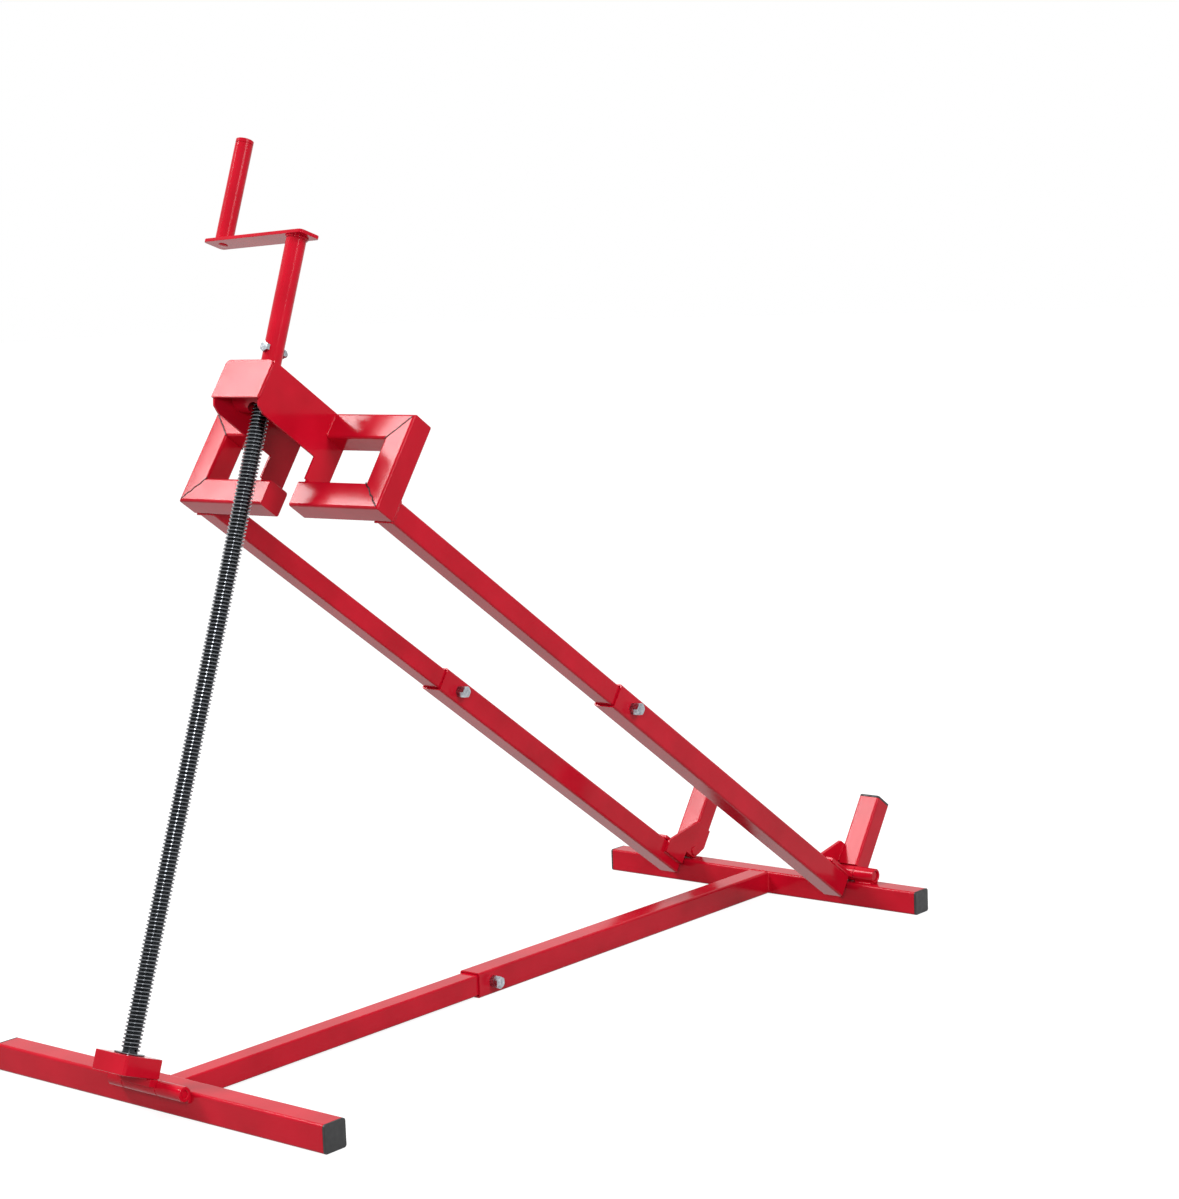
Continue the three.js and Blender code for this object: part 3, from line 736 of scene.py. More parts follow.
@dataclass
class FloorFrame:
    """Rear bar, the long base sleeve and the fixed half of the rear hinge."""

    shop: Workshop
    body: str = "floor_frame"

    def build(self) -> None:
        """Models every piece of the floor frame."""
        finish, stand = self.shop.finish, Frame.STAND
        finish(bar_tube("rear_bar_tube", REAR_FRONT), stand, self.body, Slot.RED, "rear_bar")
        for side in Side:
            plug = self.shop.take(end_plug, f"rear_bar_plug_{side.label}")
            place_plug(plug, side, REAR_FRONT)
            finish(plug, stand, self.body, Slot.PLASTIC, f"rear_plug_{side.label}")
        sleeve = square_tube("base_sleeve_tube", TUBE, TUBE_CORNER, REAR_FRONT - SLEEVE_FRONT)
        sleeve.lay("Y").move(BASE_SHIFT, SLEEVE_FRONT, half(TUBE))
        finish(sleeve, stand, self.body, Slot.RED, "base_sleeve")
        face, bolt_y = BASE_SHIFT + half(TUBE), SLEEVE_FRONT + BASE_BOLT_BACK
        nut = self.shop.take(weld_nut, "base_nut").lay("X").move(face, bolt_y, half(TUBE))
        finish(nut, stand, self.body, Slot.ZINC, "base_weld_nut")
        bolt = self.shop.take(clamp_bolt, "base_bolt").lay("X").move(face, bolt_y, half(TUBE))
        finish(bolt, stand, self.body, Slot.ZINC, "base_clamp_bolt")
        for side in Side:
            self.hinge(side)
        self.welds()

    def hinge(self, side: Side) -> None:
        """Fixed barrel of the rear hinge and its pin, on one side."""
        inner = half(LIFT_WIDTH) + 0.3
        low, high = side.span(inner, inner + HINGE_BARREL)
        barrel = ring(f"hinge_barrel_tube_{side.label}", HINGE_RADIUS, HINGE_PIN + 0.05, low, high, 0.8)
        barrel.lay("X").move(0, HINGE_Y, HINGE_Z)
        seat = box(f"hinge_seat_{side.label}", (low + 1, high - 1), (HINGE_Y - 6, HINGE_Y + 6),
                   (TUBE, HINGE_Z - HINGE_PIN - 1)).soften(0.5)
        self.shop.finish(barrel.join(seat), Frame.STAND, self.body, Slot.RED, f"hinge_barrel_{side.label}")
        low, high = side.span(half(LIFT_WIDTH) - TUBE - LUG - 2, inner + HINGE_BARREL - 2)
        pin = rod(f"hinge_pin_rod_{side.label}", HINGE_PIN, low, high, 0.8, 32).lay("X").move(0, HINGE_Y, HINGE_Z)
        self.shop.finish(pin, Frame.STAND, self.body, Slot.RED, f"hinge_pin_{side.label}")

    def welds(self) -> None:
        """Beads where the base sleeve and the hinge barrels meet the rear bar."""
        lines = []
        for x, out in ((BASE_SHIFT - half(TUBE), -1), (BASE_SHIFT + half(TUBE), 1)):
            lines.append(((x, REAR_FRONT, 3), (x, REAR_FRONT, 27), (out, -1, 0)))
        lines.append(((BASE_SHIFT - 12, REAR_FRONT, TUBE - 0.4), (BASE_SHIFT + 12, REAR_FRONT, TUBE - 0.4), (0, 0, 1)))
        for side in Side:
            low, high = side.span(half(LIFT_WIDTH) + 3, half(LIFT_WIDTH) + HINGE_BARREL - 3)
            for y in (-6.5, 6.5):
                lines.append(((low, HINGE_Y + y, TUBE + 0.5), (high, HINGE_Y + y, TUBE + 0.5), (0, y, 6)))
        self.shop.finish(beads("floor_welds", lines), Frame.STAND, self.body, Slot.RED)


def place_plug(plug: Workpiece, side: Side, front: float) -> None:
    """Sets an end plug in the end of a floor bar."""
    plug.lay("X")
    if side is Side.LEFT:
        plug.apply(Matrix.Rotation(math.pi, 4, "Z"))
    plug.move(side.value * (half(BAR_LENGTH) - PLUG_FLANGE), front + half(TUBE), half(TUBE))


def beads(name: str, lines: Sequence[tuple[Point, Point, Point]], width: float = 4.0, rise: float = 1.5) -> Workpiece:
    """Several weld beads as one piece, each given as its start, its end and its outward direction."""
    made = [bead(f"{name}_{i}", a, b, out, width, rise, i) for i, (a, b, out) in enumerate(lines)]
    made[0].obj.name = name
    return made[0].join(*made[1:])


@dataclass
class FrontFoot:
    """Front foot with the tube that slides in the base sleeve, and the fixed swivel barrels."""

    shop: Workshop
    body: str = "front_foot"

    def build(self) -> None:
        """Models every piece of the front foot."""
        finish, stand = self.shop.finish, Frame.STAND
        finish(bar_tube("foot_bar_tube", 0.0), stand, self.body, Slot.RED, "foot_bar")
        for side in Side:
            plug = self.shop.take(end_plug, f"foot_bar_plug_{side.label}")
            place_plug(plug, side, 0.0)
            finish(plug, stand, self.body, Slot.PLASTIC, f"foot_plug_{side.label}")
        slider = square_tube("base_slider_tube", SLIDER, SLIDER_CORNER, SLEEVE_FRONT + BASE_OVERLAP - TUBE)
        slider.lay("Y").move(BASE_SHIFT, TUBE, half(TUBE))
        finish(slider, stand, self.body, Slot.RED, "base_slider")
        right, left = SWIVEL_SHIFT + half(SWIVEL_BARREL), SWIVEL_SHIFT - half(SWIVEL_BARREL)
        inner = half(SWIVEL_MOVING) + 0.3
        for label, low, high in (("right", inner, right), ("left", left, -inner)):
            barrel = ring(f"swivel_tube_{label}", SWIVEL_RADIUS, SWIVEL_PIN + 0.05, low, high, 0.7)
            barrel.lay("X").move(0, SWIVEL_Y, SWIVEL_Z)
            seat = box(f"swivel_seat_{label}", (low + 1, high - 1), (SWIVEL_Y + 4.5, 0), (SWIVEL_Z - 10, SWIVEL_Z))
            finish(barrel.join(seat.soften(0.5)), stand, self.body, Slot.RED, f"swivel_barrel_{label}")
        pin = rod("swivel_pin_rod", SWIVEL_PIN, left + 1, right - 1, 0.6, 24)
        finish(pin.lay("X").move(0, SWIVEL_Y, SWIVEL_Z), stand, self.body, Slot.RED, "swivel_pin")
        self.welds()

    def welds(self) -> None:
        """Beads where the sliding tube and the barrels meet the foot bar."""
        low, high = BASE_SHIFT - half(SLIDER), BASE_SHIFT + half(SLIDER)
        lines = [((low, TUBE, 5), (low, TUBE, 25), (-1, 1, 0)), ((high, TUBE, 5), (high, TUBE, 25), (1, 1, 0)),
                 ((low + 2, TUBE, 27.5), (high - 2, TUBE, 27.5), (0, 1, 1))]
        right, left = SWIVEL_SHIFT + half(SWIVEL_BARREL), SWIVEL_SHIFT - half(SWIVEL_BARREL)
        inner = half(SWIVEL_MOVING) + 2
        for low, high in ((inner, right - 2), (left + 2, -inner)):
            lines.append(((low, -1, SWIVEL_Z + 1.5), (high, -1, SWIVEL_Z + 1.5), (0, -0.5, 1)))
            lines.append(((low, -1, SWIVEL_Z - 10), (high, -1, SWIVEL_Z - 10), (0, -1, -1)))
        self.shop.finish(beads("foot_welds", lines, 3.4, 1.3), Frame.STAND, self.body, Slot.RED)


@dataclass
class Swivel:
    """Block that carries the foot of the screw, its moving barrel and its thrust washer."""

    shop: Workshop
    body: str = "swivel"

    def build(self) -> None:
        """Models every piece of the swivel."""
        finish, screw, axis = self.shop.finish, Frame.SCREW, screw_axis()
        side = half(BLOCK_WIDTH)
        block = box("swivel_block_body", (-side, side), (-side, side), (BLOCK_LOW, BLOCK_TOP))
        block.bevel(along(2), 3.0, 4).soften(0.9)
        block.cut(rod("bore", JOURNAL_RADIUS + 0.3, BLOCK_LOW - 1, BLOCK_TOP + 1))
        block.cut(rod("recess", COLLAR_RADIUS + 0.3, BLOCK_LOW - 1, BLOCK_LOW + COLLAR_THICKNESS + 0.6))
        finish(block, axis, self.body, Slot.RED, "swivel_block")
        low, high = -half(SWIVEL_MOVING), half(SWIVEL_MOVING)
        barrel = ring("swivel_moving_tube", SWIVEL_RADIUS, SWIVEL_PIN + 0.3, low, high, 0.7).lay("X")
        pad = box("swivel_pad", (low, high), (-SWIVEL_PAD, -4.8), (0.0, SWIVEL_RADIUS)).soften(0.5)
        finish(barrel.join(pad), screw, self.body, Slot.RED, "swivel_barrel_moving")
        washer = ring("thrust_washer_ring", THRUST_RADIUS, JOURNAL_RADIUS + 0.6, BLOCK_TOP + 0.2,
                      BLOCK_TOP + 0.2 + THRUST_THICKNESS, 0.5)
        finish(washer, axis, self.body, Slot.STEEL, "thrust_washer")
        self.seam()

    def seam(self) -> None:
        """Bead where the block stands on the barrel's pad."""
        edge, high = half(SWIVEL_MOVING) - 4, SWIVEL_RADIUS - 0.4
        lines = [((-edge, -SWIVEL_PAD, high), (edge, -SWIVEL_PAD, high), (0, -1, -0.6))]
        self.shop.finish(beads("swivel_weld", lines, 3.2, 1.2), Frame.SCREW, self.body, Slot.RED)


def thread(name: str, low: float, high: float) -> Workpiece:
    """Length of trapezoidal thread along Z, with both ends run into the core."""
    crest, root = SCREW_RADIUS, SCREW_RADIUS - THREAD_DEPTH
    flank = THREAD_DEPTH * math.tan(math.radians(15))
    land = THREAD_PITCH * 0.366
    soft = 0.2
    rise = THREAD_PITCH - land - 2 * flank
    profile = [(root, 0.0), (root, rise), (crest - soft, rise + flank), (crest, rise + flank + soft),
               (crest, rise + flank + land - soft), (crest - soft, rise + flank + land), (root, THREAD_PITCH)]
    points = [(r, 0.0, z + low) for r, z in profile]
    work = Workpiece(name, points, edges=[(i, i + 1) for i in range(len(points) - 1)])
    work.select()
    screw = work.obj.modifiers.new("thread", "SCREW")
    screw.steps = screw.render_steps = 26
    screw.screw_offset = THREAD_PITCH
    screw.iterations = int((high - low) / THREAD_PITCH) - 1
    screw.use_merge_vertices = True
    screw.merge_threshold = 0.01
    bpy.ops.object.modifier_apply(modifier=screw.name)
    with work.editing("FACE"):
        bpy.ops.mesh.select_all(action="SELECT")
        bpy.ops.mesh.normals_make_consistent(inside=False)
    return work


@dataclass
class LeadScrew:
    """Threaded screw with its collar."""

    shop: Workshop
    body: str = "screw"

    def build(self) -> None:
        """Models the screw, with plain ends, and its collar."""
        top = BLOCK_TOP + THRUST_THICKNESS + 0.4
        collar_low = BLOCK_LOW + 0.3
        screw = thread("lead_screw_thread", top, CRANK_LOW - 0.4)
        plain = rod("journal", JOURNAL_RADIUS - 0.1, collar_low - 1, top + 3, 0.8)
        core = rod("core", SCREW_RADIUS - THREAD_DEPTH, top, CRANK_LOW - 0.4, 0.5, 26)
        stub = rod("stub", JOURNAL_RADIUS - 0.1, CRANK_LOW - 6, CRANK_LOW + 60, 0.8)
        screw.join(plain, core, stub)
        self.shop.finish(screw, screw_axis(), self.body, Slot.STEEL, "lead_screw")
        collar = ring("screw_collar_ring", COLLAR_RADIUS, JOURNAL_RADIUS + 0.05, collar_low,
                      collar_low + COLLAR_THICKNESS, 0.6)
        self.shop.finish(collar, screw_axis(), self.body, Slot.STEEL, "screw_collar")


def screw_axis() -> "AxisFrame":
    """Frame whose Z is the axis of the screw."""
    return AxisFrame(Frame.SCREW, (0.0, -SCREW_OFFSET, 0.0))


@dataclass(frozen=True)
class AxisFrame:
    """Frame set off from another one."""

    base: Frame
    offset: Point

    def matrix(self) -> Matrix:
        """Matrix that carries millimetres in this frame to metres in the row frame."""
        return self.base.matrix() @ Matrix.Translation(self.offset)


@dataclass
class Crank:
    """Crank tube, arm, grip and the bolt that holds them on the screw."""

    shop: Workshop
    body: str = "screw"
    grip_body: str = "grip"

    def build(self) -> None:
        """Models every piece of the crank."""
        finish, frame = self.shop.finish, screw_axis()
        tube = ring("crank_tube_body", CRANK_RADIUS, JOURNAL_RADIUS + 0.2, CRANK_LOW, CRANK_TOP, 0.6)
        finish(tube, frame, self.body, Slot.RED, "crank_tube")
        finish(self.arm(), frame, self.body, Slot.RED, "crank_arm")
        circle = [((CRANK_RADIUS + 0.6) * math.cos(a), (CRANK_RADIUS + 0.6) * math.sin(a), CRANK_TOP - 0.6)
                  for a in (math.tau * i / 12 for i in range(13))]
        lines = [(a, b, (0, 0, -1)) for a, b in zip(circle, circle[1:])]
        finish(beads("crank_weld", lines, 3.0, 1.5), frame, self.body, Slot.RED)
        self.bolt()
        high = GRIP_LOW + GRIP_LENGTH
        turn = self.turn()
        spindle = lathe("grip_spindle_rod", [(0, ARM_TOP + 0.2), (5, ARM_TOP + 0.2), (5, high - 10), (7, high - 10),
                                             (7, high - 6), (6, high - 5), (0, high - 5)], 32)
        rivet = lathe("grip_spindle_rivet", [(0, ARM_LOW), (5.5, ARM_LOW), (5.0, ARM_LOW - 0.9), (3.2, ARM_LOW - 1.4),
                                             (0, ARM_LOW - 1.5)], 32)
        finish(rivet.move(-CRANK_THROW, 0, 0).apply(turn), frame, self.body, Slot.RED)
        finish(spindle.move(-CRANK_THROW, 0, 0).apply(turn), frame, self.body, Slot.STEEL, "grip_spindle")
        grip = lathe("crank_grip_tube", [(5.3, GRIP_LOW), (9.4, GRIP_LOW), (GRIP_RADIUS, GRIP_LOW + 0.6),
                                         (GRIP_RADIUS, high - 5.6), (9.3, high - 5.2), (9.3, high - 4.6),
                                         (GRIP_RADIUS, high - 4.2), (GRIP_RADIUS, high - 0.6), (9.4, high),
                                         (8.2, high), (GRIP_BORE, high - 0.4),
                                         (GRIP_BORE, GRIP_LOW + 8), (5.3, GRIP_LOW + 8), (5.3, GRIP_LOW)])
        finish(grip.move(-CRANK_THROW, 0, 0).apply(turn), frame, self.grip_body, Slot.RED, "crank_grip")

    def arm(self) -> Workpiece:
        """Flat arm with rounded corners."""
        far, near, wide = -CRANK_THROW - ARM_TIP, ARM_HEEL, half(ARM_WIDTH)
        corners = [(far, -wide, ARM_LOW), (near, -wide, ARM_LOW), (near, wide, ARM_LOW), (far, wide, ARM_LOW)]
        sheet = plate("crank_arm_plate", corners, (0, 0, ARM_TOP - ARM_LOW))
        return sheet.bevel(along(2), ARM_CORNER, 6).soften(0.5, 50).apply(self.turn())

    @staticmethod
    def turn() -> Matrix:
        """Turn of the arm about the screw, from straight sideways towards the back."""
        return Matrix.Rotation(-math.radians(CRANK_TURN), 4, "Z")

    def bolt(self) -> None:
        """Bolt and nut through the crank tube, with the bolt's head in front."""
        finish, frame = self.shop.finish, screw_axis()
        front, back = (Matrix.Translation((0, 0, CRANK_BOLT_UP)) @ Matrix.Rotation(turn, 4, "Z")
                       for turn in (-half(math.pi), half(math.pi)))
        head = hexagon("crank_bolt_head", SMALL_HEAD_RADIUS, CRANK_RADIUS, CRANK_RADIUS + SMALL_HEAD, False)
        shank = rod("shank", 3.0, -CRANK_RADIUS - SMALL_HEAD - 4, CRANK_RADIUS + 1, 0.5, 24)
        finish(head.join(shank).lay("X").apply(front), frame, self.body, Slot.ZINC, "crank_bolt")
        nut = hexagon("crank_bolt_nut", SMALL_HEAD_RADIUS, CRANK_RADIUS, CRANK_RADIUS + SMALL_HEAD, False)
        nut.cut(rod("nut_bore", 3.05, CRANK_RADIUS - 1, CRANK_RADIUS + SMALL_HEAD + 1, 0.1, 24))
        finish(nut.lay("X").apply(back), frame, self.body, Slot.ZINC, "crank_nut")


@dataclass
class LiftSide:
    """One side of the lift frame: rail sleeve, hinge leaf, lug, wheel stop and its clamp bolt."""

    shop: Workshop
    side: Side
    body: str = "lift_frame"

    def build(self) -> None:
        """Models every piece of this side."""
        finish, lift, side = self.shop.finish, Frame.LIFT, self.side
        x = side.value * RAIL_SIDE
        sleeve = square_tube(f"rail_sleeve_tube_{side.label}", TUBE, TUBE_CORNER, RAIL_SLEEVE_END - RAIL_START)
        sleeve.lay("Y").move(x, -RAIL_SLEEVE_END, -RAIL_DROP)
        finish(sleeve, lift, self.body, Slot.RED, f"rail_sleeve_{side.label}")
        self.bolt()
        self.hinge()
        self.stop()
        self.welds()

    def bolt(self) -> None:
        """Weld nut and clamp bolt on the face towards +X."""
        y = -RAIL_SLEEVE_END + RAIL_BOLT_BACK
        face = self.side.value * RAIL_SIDE + half(TUBE)
        label = self.side.label
        nut = self.shop.take(weld_nut, f"rail_nut_{label}").lay("X").move(face, y, -RAIL_DROP)
        self.shop.finish(nut, Frame.LIFT, self.body, Slot.ZINC, f"rail_weld_nut_{label}")
        bolt = self.shop.take(clamp_bolt, f"rail_bolt_{label}").lay("X").move(face, y, -RAIL_DROP)
        self.shop.finish(bolt, Frame.LIFT, self.body, Slot.ZINC, f"rail_clamp_bolt_{label}")

    def hinge(self) -> None:
        """Leaf with its barrel, and the lug beside the rail."""
        side, label = self.side, self.side.label
        low, high = side.span(half(LIFT_WIDTH) - TUBE, half(LIFT_WIDTH))
        barrel = ring(f"lift_leaf_plate_{label}", HINGE_RADIUS, HINGE_PIN + 0.3, low, high, 0.7).lay("X")
        foot = -HINGE_RADIUS + 0.2
        leaf = box(f"leaf_{label}", (low, high), (-LEAF_LENGTH, -7.0), (foot, foot + LEAF_THICKNESS)).soften(0.6)
        self.shop.finish(barrel.join(leaf), Frame.LIFT, self.body, Slot.RED, f"lift_leaf_{label}")
        points = [(-RAIL_START - 1, -26), (-58, -26), (-58, -HINGE_RADIUS), (-12, 38), (20, 38), (20, 12), (12, 0),
                  (4.75, -8.5), (-RAIL_START - 1, -8.5)]
        low, high = side.span(half(LIFT_WIDTH) - TUBE - LUG, half(LIFT_WIDTH) - TUBE)
        lug = plate(f"hinge_lug_plate_{label}", [(low, y, z) for y, z in points], (high - low, 0, 0))
        hole = rod("hole", HINGE_PIN + 0.3, low - 1, high + 1).lay("X")
        self.shop.finish(lug.soften(0.6).cut(hole), Frame.LIFT, self.body, Slot.RED, f"hinge_lug_{label}")

    def stop(self) -> None:
        """Upright wheel stop with its plug."""
        label, x = self.side.label, self.side.value * RAIL_SIDE
        low, high = HINGE_RADIUS + 0.5, STOP_TOP - PLUG_FLANGE
        tube = square_tube(f"wheel_stop_tube_{label}", TUBE, TUBE_CORNER, high - low).move(x, STOP_Y, low)
        self.shop.finish(tube, Frame.LIFT, self.body, Slot.RED, f"wheel_stop_{label}")
        plug = self.shop.take(end_plug, f"wheel_stop_plug_{label}").move(x, STOP_Y, high + 0.2)
        self.shop.finish(plug, Frame.LIFT, self.body, Slot.PLASTIC, f"stop_plug_{label}")

    def welds(self) -> None:
        """Beads between the rail, the leaf, the lug and the wheel stop."""
        side = self.side
        inner, outer = side.value * (half(LIFT_WIDTH) - TUBE), side.value * half(LIFT_WIDTH)
        face = side.value * (half(LIFT_WIDTH) - TUBE - LUG)
        lines = [
            ((outer - side.value, -LEAF_LENGTH + 3, -HINGE_RADIUS), (outer - side.value, -RAIL_START, -HINGE_RADIUS),
             (side.value, 0, 1)),
            ((inner + side.value * 2, -LEAF_LENGTH, -HINGE_RADIUS + 1), (outer - side.value * 2, -LEAF_LENGTH,
                                                                        -HINGE_RADIUS + 1), (0, -1, 1)),
            ((inner, -57, -26), (inner, -20, -26), (-side.value, 0, -1)),
            ((inner + side.value * 3, 0, HINGE_RADIUS), (outer - side.value * 3, 0, HINGE_RADIUS), (0, -1, 0.3)),
            ((face + side.value * LUG, -5, 13), (face + side.value * LUG, -5, 37), (-side.value, -1, 0)),
        ]
        self.shop.finish(beads(f"rail_welds_{side.label}", lines), Frame.LIFT, self.body, Slot.RED)


@dataclass
class HeadSide:
    """One side of the head: sliding rail, mitred square frame and the cheek of the nose."""

    shop: Workshop
    side: Side
    body: str = "head"

    def build(self) -> None:
        """Models every piece of this side."""
        finish, lift, side, label = self.shop.finish, Frame.LIFT, self.side, self.side.label
        start = RAIL_SLEEVE_END - RAIL_OVERLAP
        slider = square_tube(f"rail_slider_tube_{label}", SLIDER, SLIDER_CORNER, HEAD_REAR - 0.2 - start)
        slider.lay("Y").move(side.value * RAIL_SIDE, -HEAD_REAR + 0.2, -RAIL_DROP)
        finish(slider, lift, self.body, Slot.RED, f"rail_slider_{label}")
        outer, inner = half(LIFT_WIDTH), half(LIFT_WIDTH) - TUBE
        low_in, top_in, nose, slot = HEAD_LOW + TUBE, HEAD_TOP - TUBE, half(NOSE_WIDTH), half(HEAD_SLOT)
        post = self.member("post", [(inner, low_in + MITRE_GAP), (outer, HEAD_LOW + MITRE_GAP),
                                    (outer, HEAD_TOP - MITRE_GAP), (inner, top_in - MITRE_GAP)], 2)
        finish(post, lift, self.body, Slot.RED, f"outer_post_{label}")
        top = self.member("top", [(nose, top_in), (inner, top_in), (outer, HEAD_TOP), (nose, HEAD_TOP)], 0)
        finish(top, lift, self.body, Slot.RED, f"top_member_{label}")
        low = self.member("low", [(slot, HEAD_LOW), (outer, HEAD_LOW), (inner, low_in), (slot, low_in)], 0)
        finish(low, lift, self.body, Slot.RED, f"bottom_member_{label}")
        finish(self.cheek(), lift, self.body, Slot.RED, f"nose_cheek_{label}")
        self.welds()

    def member(self, word: str, points: Sequence[tuple[float, float]], axis: int) -> Workpiece:
        """One mitred tube of the square frame, with its long edges rounded."""
        flat = [(self.side.value * x, -HEAD_FRONT, z) for x, z in points]
        bar = plate(f"head_{word}_{self.side.label}", flat, (0, HEAD_FRONT - HEAD_REAR, 0))
        bar.bevel(along(axis), TUBE_CORNER, 4)
        return bar.soften(0.3, 60, 1)

    def cheek(self) -> Workpiece:
        """Side plate of the nose."""
        low, end = HEAD_TOP - NOSE_DEPTH, NOSE_FRONT - NOSE_PLATE - 0.2
        foot = HEAD_LOW + TUBE + 0.2
        points = [(-HEAD_REAR, foot), (-HEAD_FRONT - 4, foot), (-HEAD_FRONT - 4, low), (-end + 14, low),
                  (-end + 4, low + 4), (-end, HEAD_TOP - NOSE_END_DEPTH), (-end, HEAD_TOP), (-HEAD_REAR, HEAD_TOP)]
        near, far = self.side.span(half(NOSE_WIDTH) - NOSE_PLATE, half(NOSE_WIDTH))
        sheet = plate(f"nose_cheek_plate_{self.side.label}", [(near, y, z) for y, z in points], (far - near, 0, 0))
        return sheet.soften(0.7)

    def welds(self) -> None:
        """Beads along the mitres, at the rail and along the cheek."""
        side, s = self.side, self.side.value
        outer, inner = half(LIFT_WIDTH), half(LIFT_WIDTH) - TUBE
        front, rear = -HEAD_FRONT - 0.1, -HEAD_REAR + 0.1
        lines = []
        for y, out in ((front, -1), (rear, 1)):
            for low, high in ((HEAD_LOW + 3, HEAD_LOW + TUBE), (HEAD_TOP - 3, HEAD_TOP - TUBE)):
                lines += ragged((s * (outer - 3), y, low), (s * inner, y, high), (0, out, 0), round(high) + out)
        # the mitre seams are marked for painted shade, drawn in a dark colour
        seams = beads(f"mitre_welds_{side.label}", lines, 1.9, 0.35).paint_seam_shade()
        x = s * half(NOSE_WIDTH)
        lines = [
            ((x, front, HEAD_TOP - TUBE + 2), (x, front, HEAD_TOP - 3), (s, -1, 0)),
            ((x, front, HEAD_LOW + TUBE), (x, rear, HEAD_LOW + TUBE), (s, 0, 1)),
            ((x - s * 1.5, front - 1, HEAD_LOW + TUBE - 0.6), (x - s * 1.5, front + 6, HEAD_LOW + TUBE - 0.6),
             (-s, -1, 1)),
        ]
        edge, mid = s * (RAIL_SIDE + half(SLIDER)), s * (RAIL_SIDE - half(SLIDER))
        for z in (-RAIL_DROP - half(SLIDER), -RAIL_DROP + half(SLIDER)):
            lines.append(((mid, -HEAD_REAR + 0.5, z), (edge, -HEAD_REAR + 0.5, z),
                          (0, 1, math.copysign(1, z + RAIL_DROP))))
        for x in (edge, mid):
            lines.append(((x, -HEAD_REAR + 0.5, -RAIL_DROP - 11), (x, -HEAD_REAR + 0.5, -RAIL_DROP + 11),
                          (math.copysign(1, x - s * RAIL_SIDE), 1, 0)))
        fillets = beads(f"head_fillets_{side.label}", lines, 3.6, 1.4)
        self.shop.finish(seams.join(fillets), Frame.LIFT, self.body, Slot.RED)


@dataclass
class Nose:
    """Top and end of the nose, and the nut that hangs across it."""

    shop: Workshop
    body: str = "head"
    nut_body: str = "lifting_nut"

    def build(self) -> None:
        """Models the nose's top and end and the barrel nut."""
        finish, lift = self.shop.finish, Frame.LIFT
        wide = half(NOSE_WIDTH) - NOSE_PLATE
        deck = box("nose_top_plate", (-wide, wide), (-NOSE_FRONT + NOSE_PLATE + 0.2, -HEAD_REAR),
                   (HEAD_TOP - NOSE_PLATE, HEAD_TOP)).soften(0.6)
        gap = box("gap", (-12, 12), (-NUT_ALONG - 23, -NUT_ALONG + 17), (HEAD_TOP - 10, HEAD_TOP + 10))
        finish(deck.cut(gap.bevel(along(2), 10.5, 6)), lift, self.body, Slot.RED, "nose_top")
        side, low = half(NOSE_WIDTH), HEAD_TOP - NOSE_END_DEPTH
        points = [(-side, low), (side, low), (side, HEAD_TOP), (-side, HEAD_TOP)]
        end = plate("nose_end_plate", [(x, -NOSE_FRONT, z) for x, z in points], (0, NOSE_PLATE, 0))

        def upper(a: Vector, b: Vector) -> bool:
            """True for the two upper corners."""
            return along(1)(a, b) and a.z > low + 1

        end.bevel(upper, NOSE_CORNER, 8).soften(0.7)
        finish(end, lift, self.body, Slot.RED, "nose_end")
        lines = []
        for s in (-1, 1):
            x = s * (side - NOSE_PLATE)
            lines.append(((x, -NOSE_FRONT + 12, HEAD_TOP - 0.2), (x, -HEAD_REAR - 2, HEAD_TOP - 0.2), (0, 0, 1)))
            lines.append(((s * side, -NOSE_FRONT + NOSE_PLATE, low + 2), (s * side, -NOSE_FRONT + NOSE_PLATE,
                                                                       HEAD_TOP - NOSE_CORNER), (s, 0, 0)))
        finish(beads("nose_welds", lines, 3.0, 0.7), lift, self.body, Slot.RED)
        nut = rod("lifting_nut_barrel", NUT_RADIUS, -NUT_HALF, NUT_HALF, 1.0).lay("X")
        nut.cut(rod("screw_bore", NUT_BORE, -NUT_RADIUS - 2, NUT_RADIUS + 2))
        finish(nut, Frame.NUT, self.nut_body, Slot.RED, "lifting_nut")


@dataclass(frozen=True)
class Camera:
    """The photograph's camera: place in millimetres, and turns in degrees."""

    place: Point = (1994.468, -1716.585, 843.717)
    azimuth: float = 39.2302
    elevation: float = 7.3337
    roll: float = 2.1506
    lens: float = 79.254
    sensor: float = 36.0

    def build(self) -> None:
        """Adds the camera."""
        az, el, roll = (math.radians(a) for a in (self.azimuth, self.elevation, self.roll))
        view = Vector((-math.sin(az) * math.cos(el), math.cos(az) * math.cos(el), -math.sin(el)))
        level = Vector((math.cos(az), math.sin(az), 0))
        down = view.cross(level)
        right = math.cos(roll) * level + math.sin(roll) * down
        up = math.sin(roll) * level - math.cos(roll) * down
        data = bpy.data.cameras.new("camera")
        data.lens, data.sensor_width, data.sensor_fit = self.lens, self.sensor, "HORIZONTAL"
        data.clip_start, data.clip_end = 0.05, 60
        camera = bpy.data.objects.new("camera", data)
        bpy.context.scene.collection.objects.link(camera)
        turn = Matrix((right, up, -view)).transposed().to_4x4()
        camera.matrix_world = Matrix.Translation(Vector(self.place) * MM) @ turn
        bpy.context.scene.camera = camera


@dataclass(frozen=True)
class Softbox:
    """Square studio light aimed at a point."""

    name: str
    place: Point
    size: float
    power: float
    aim: Point = (0.0, 0.4, 0.4)

    def build(self) -> None:
        """Adds the light."""
        data = bpy.data.lights.new(self.name, "AREA")
        data.shape, data.size, data.energy = "SQUARE", self.size, self.power
        light = bpy.data.objects.new(self.name, data)
        bpy.context.scene.collection.objects.link(light)
        light.location = self.place
        light.rotation_mode = "QUATERNION"
        light.rotation_quaternion = (Vector(self.aim) - Vector(self.place)).to_track_quat("-Z", "Y")


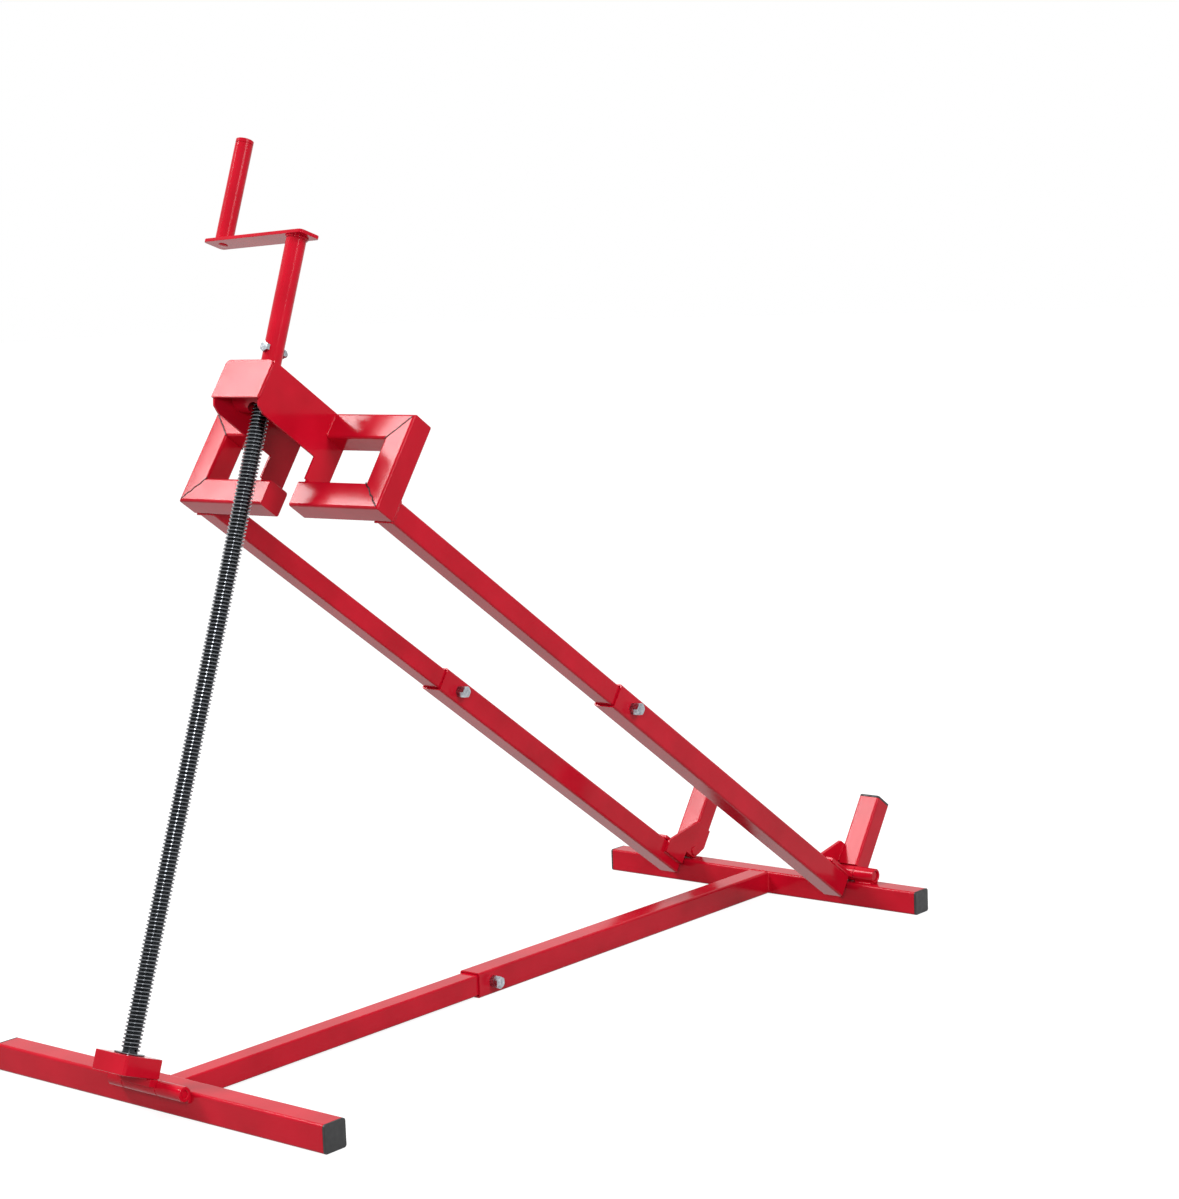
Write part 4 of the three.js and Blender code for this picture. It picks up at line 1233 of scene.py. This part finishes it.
@dataclass
class Studio:
    """White floor, white surroundings and soft lights."""

    floor_reach: float = 30.0
    floor_colour: str = "#909090"
    floor_glow: float = 0.88
    sky_light: float = 0.45

    def build(self) -> None:
        """Adds the floor, the surroundings and the lights."""
        reach = self.floor_reach
        corners = [(-reach, -reach, 0), (reach, -reach, 0), (reach, reach, 0), (-reach, reach, 0)]
        floor = Workpiece("studio_floor", corners, [range(4)]).obj
        floor.location.z = -0.0005
        material, tree, surface = new_tree("studio_floor_matt")
        wire(tree, surface, {"Base Color": linear(self.floor_colour), "Roughness": 0.8, "Specular IOR Level": 0.1,
                             "Emission Color": linear("#ffffff"),
                             "Emission Strength": self.when_seen(tree, 0.0, self.floor_glow)})
        floor.data.materials.append(material)
        floor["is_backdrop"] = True
        world = bpy.data.worlds.new("studio_white")
        world.use_nodes = True
        bpy.context.scene.world = world
        tree = world.node_tree
        wire(tree, tree.nodes["Background"], {"Color": linear("#ffffff"),
                                              "Strength": self.when_seen(tree, self.sky_light, 1.0)})
        Softbox("key_softbox", (-2.5, -1.3, 3.4), 1.3, 140).build()
        Softbox("camera_softbox", (1.9, -2.35, 1.5), 0.7, 36).build()
        Softbox("side_softbox", (3.2, 0.2, 2.6), 1.5, 66).build()

    @staticmethod
    def when_seen(tree: bpy.types.NodeTree, unseen: float, seen: float) -> bpy.types.NodeSocket:
        """Value that is one thing as light and another where it is seen, straight, mirrored or through something."""
        path = add(tree, "ShaderNodeLightPath")
        shown = path.outputs["Is Camera Ray"]
        for way in ("Is Glossy Ray", "Is Transmission Ray"):
            either = add(tree, "ShaderNodeMath", {"operation": "MAXIMUM"})
            tree.links.new(shown, either.inputs[0])
            tree.links.new(path.outputs[way], either.inputs[1])
            shown = either.outputs[0]
        return add(tree, "ShaderNodeMapRange", value=shown, to_min=unseen, to_max=seen).outputs[0]


def write_sizes(before: tuple[Vector, Vector], after: tuple[Vector, Vector]) -> None:
    """Makes a text of the bounds of the frame and of the finished looks, which is then dropped unwritten."""
    rows = {"frame": [list(v) for v in before], "looks": [list(v) for v in after]}
    lines = [f' "{key}": [[{", ".join(f"{c:.5f}" for c in low)}], [{", ".join(f"{c:.5f}" for c in high)}]]'
             for key, (low, high) in rows.items()]
    "{\n" + ",\n".join(lines) + "\n}\n"


def main() -> None:
    """Builds the scene."""
    logging.basicConfig(level=logging.INFO, format="%(message)s")
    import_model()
    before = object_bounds()
    bpy.context.scene.view_settings.view_transform = "Standard"
    shop = Workshop.open()
    FloorFrame(shop).build()
    FrontFoot(shop).build()
    Swivel(shop).build()
    LeadScrew(shop).build()
    Crank(shop).build()
    for side in Side:
        LiftSide(shop, side).build()
        HeadSide(shop, side).build()
    Nose(shop).build()
    shop.clear()
    Studio().build()
    Camera().build()
    write_sizes(before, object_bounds())


if __name__ == "__main__":
    main()
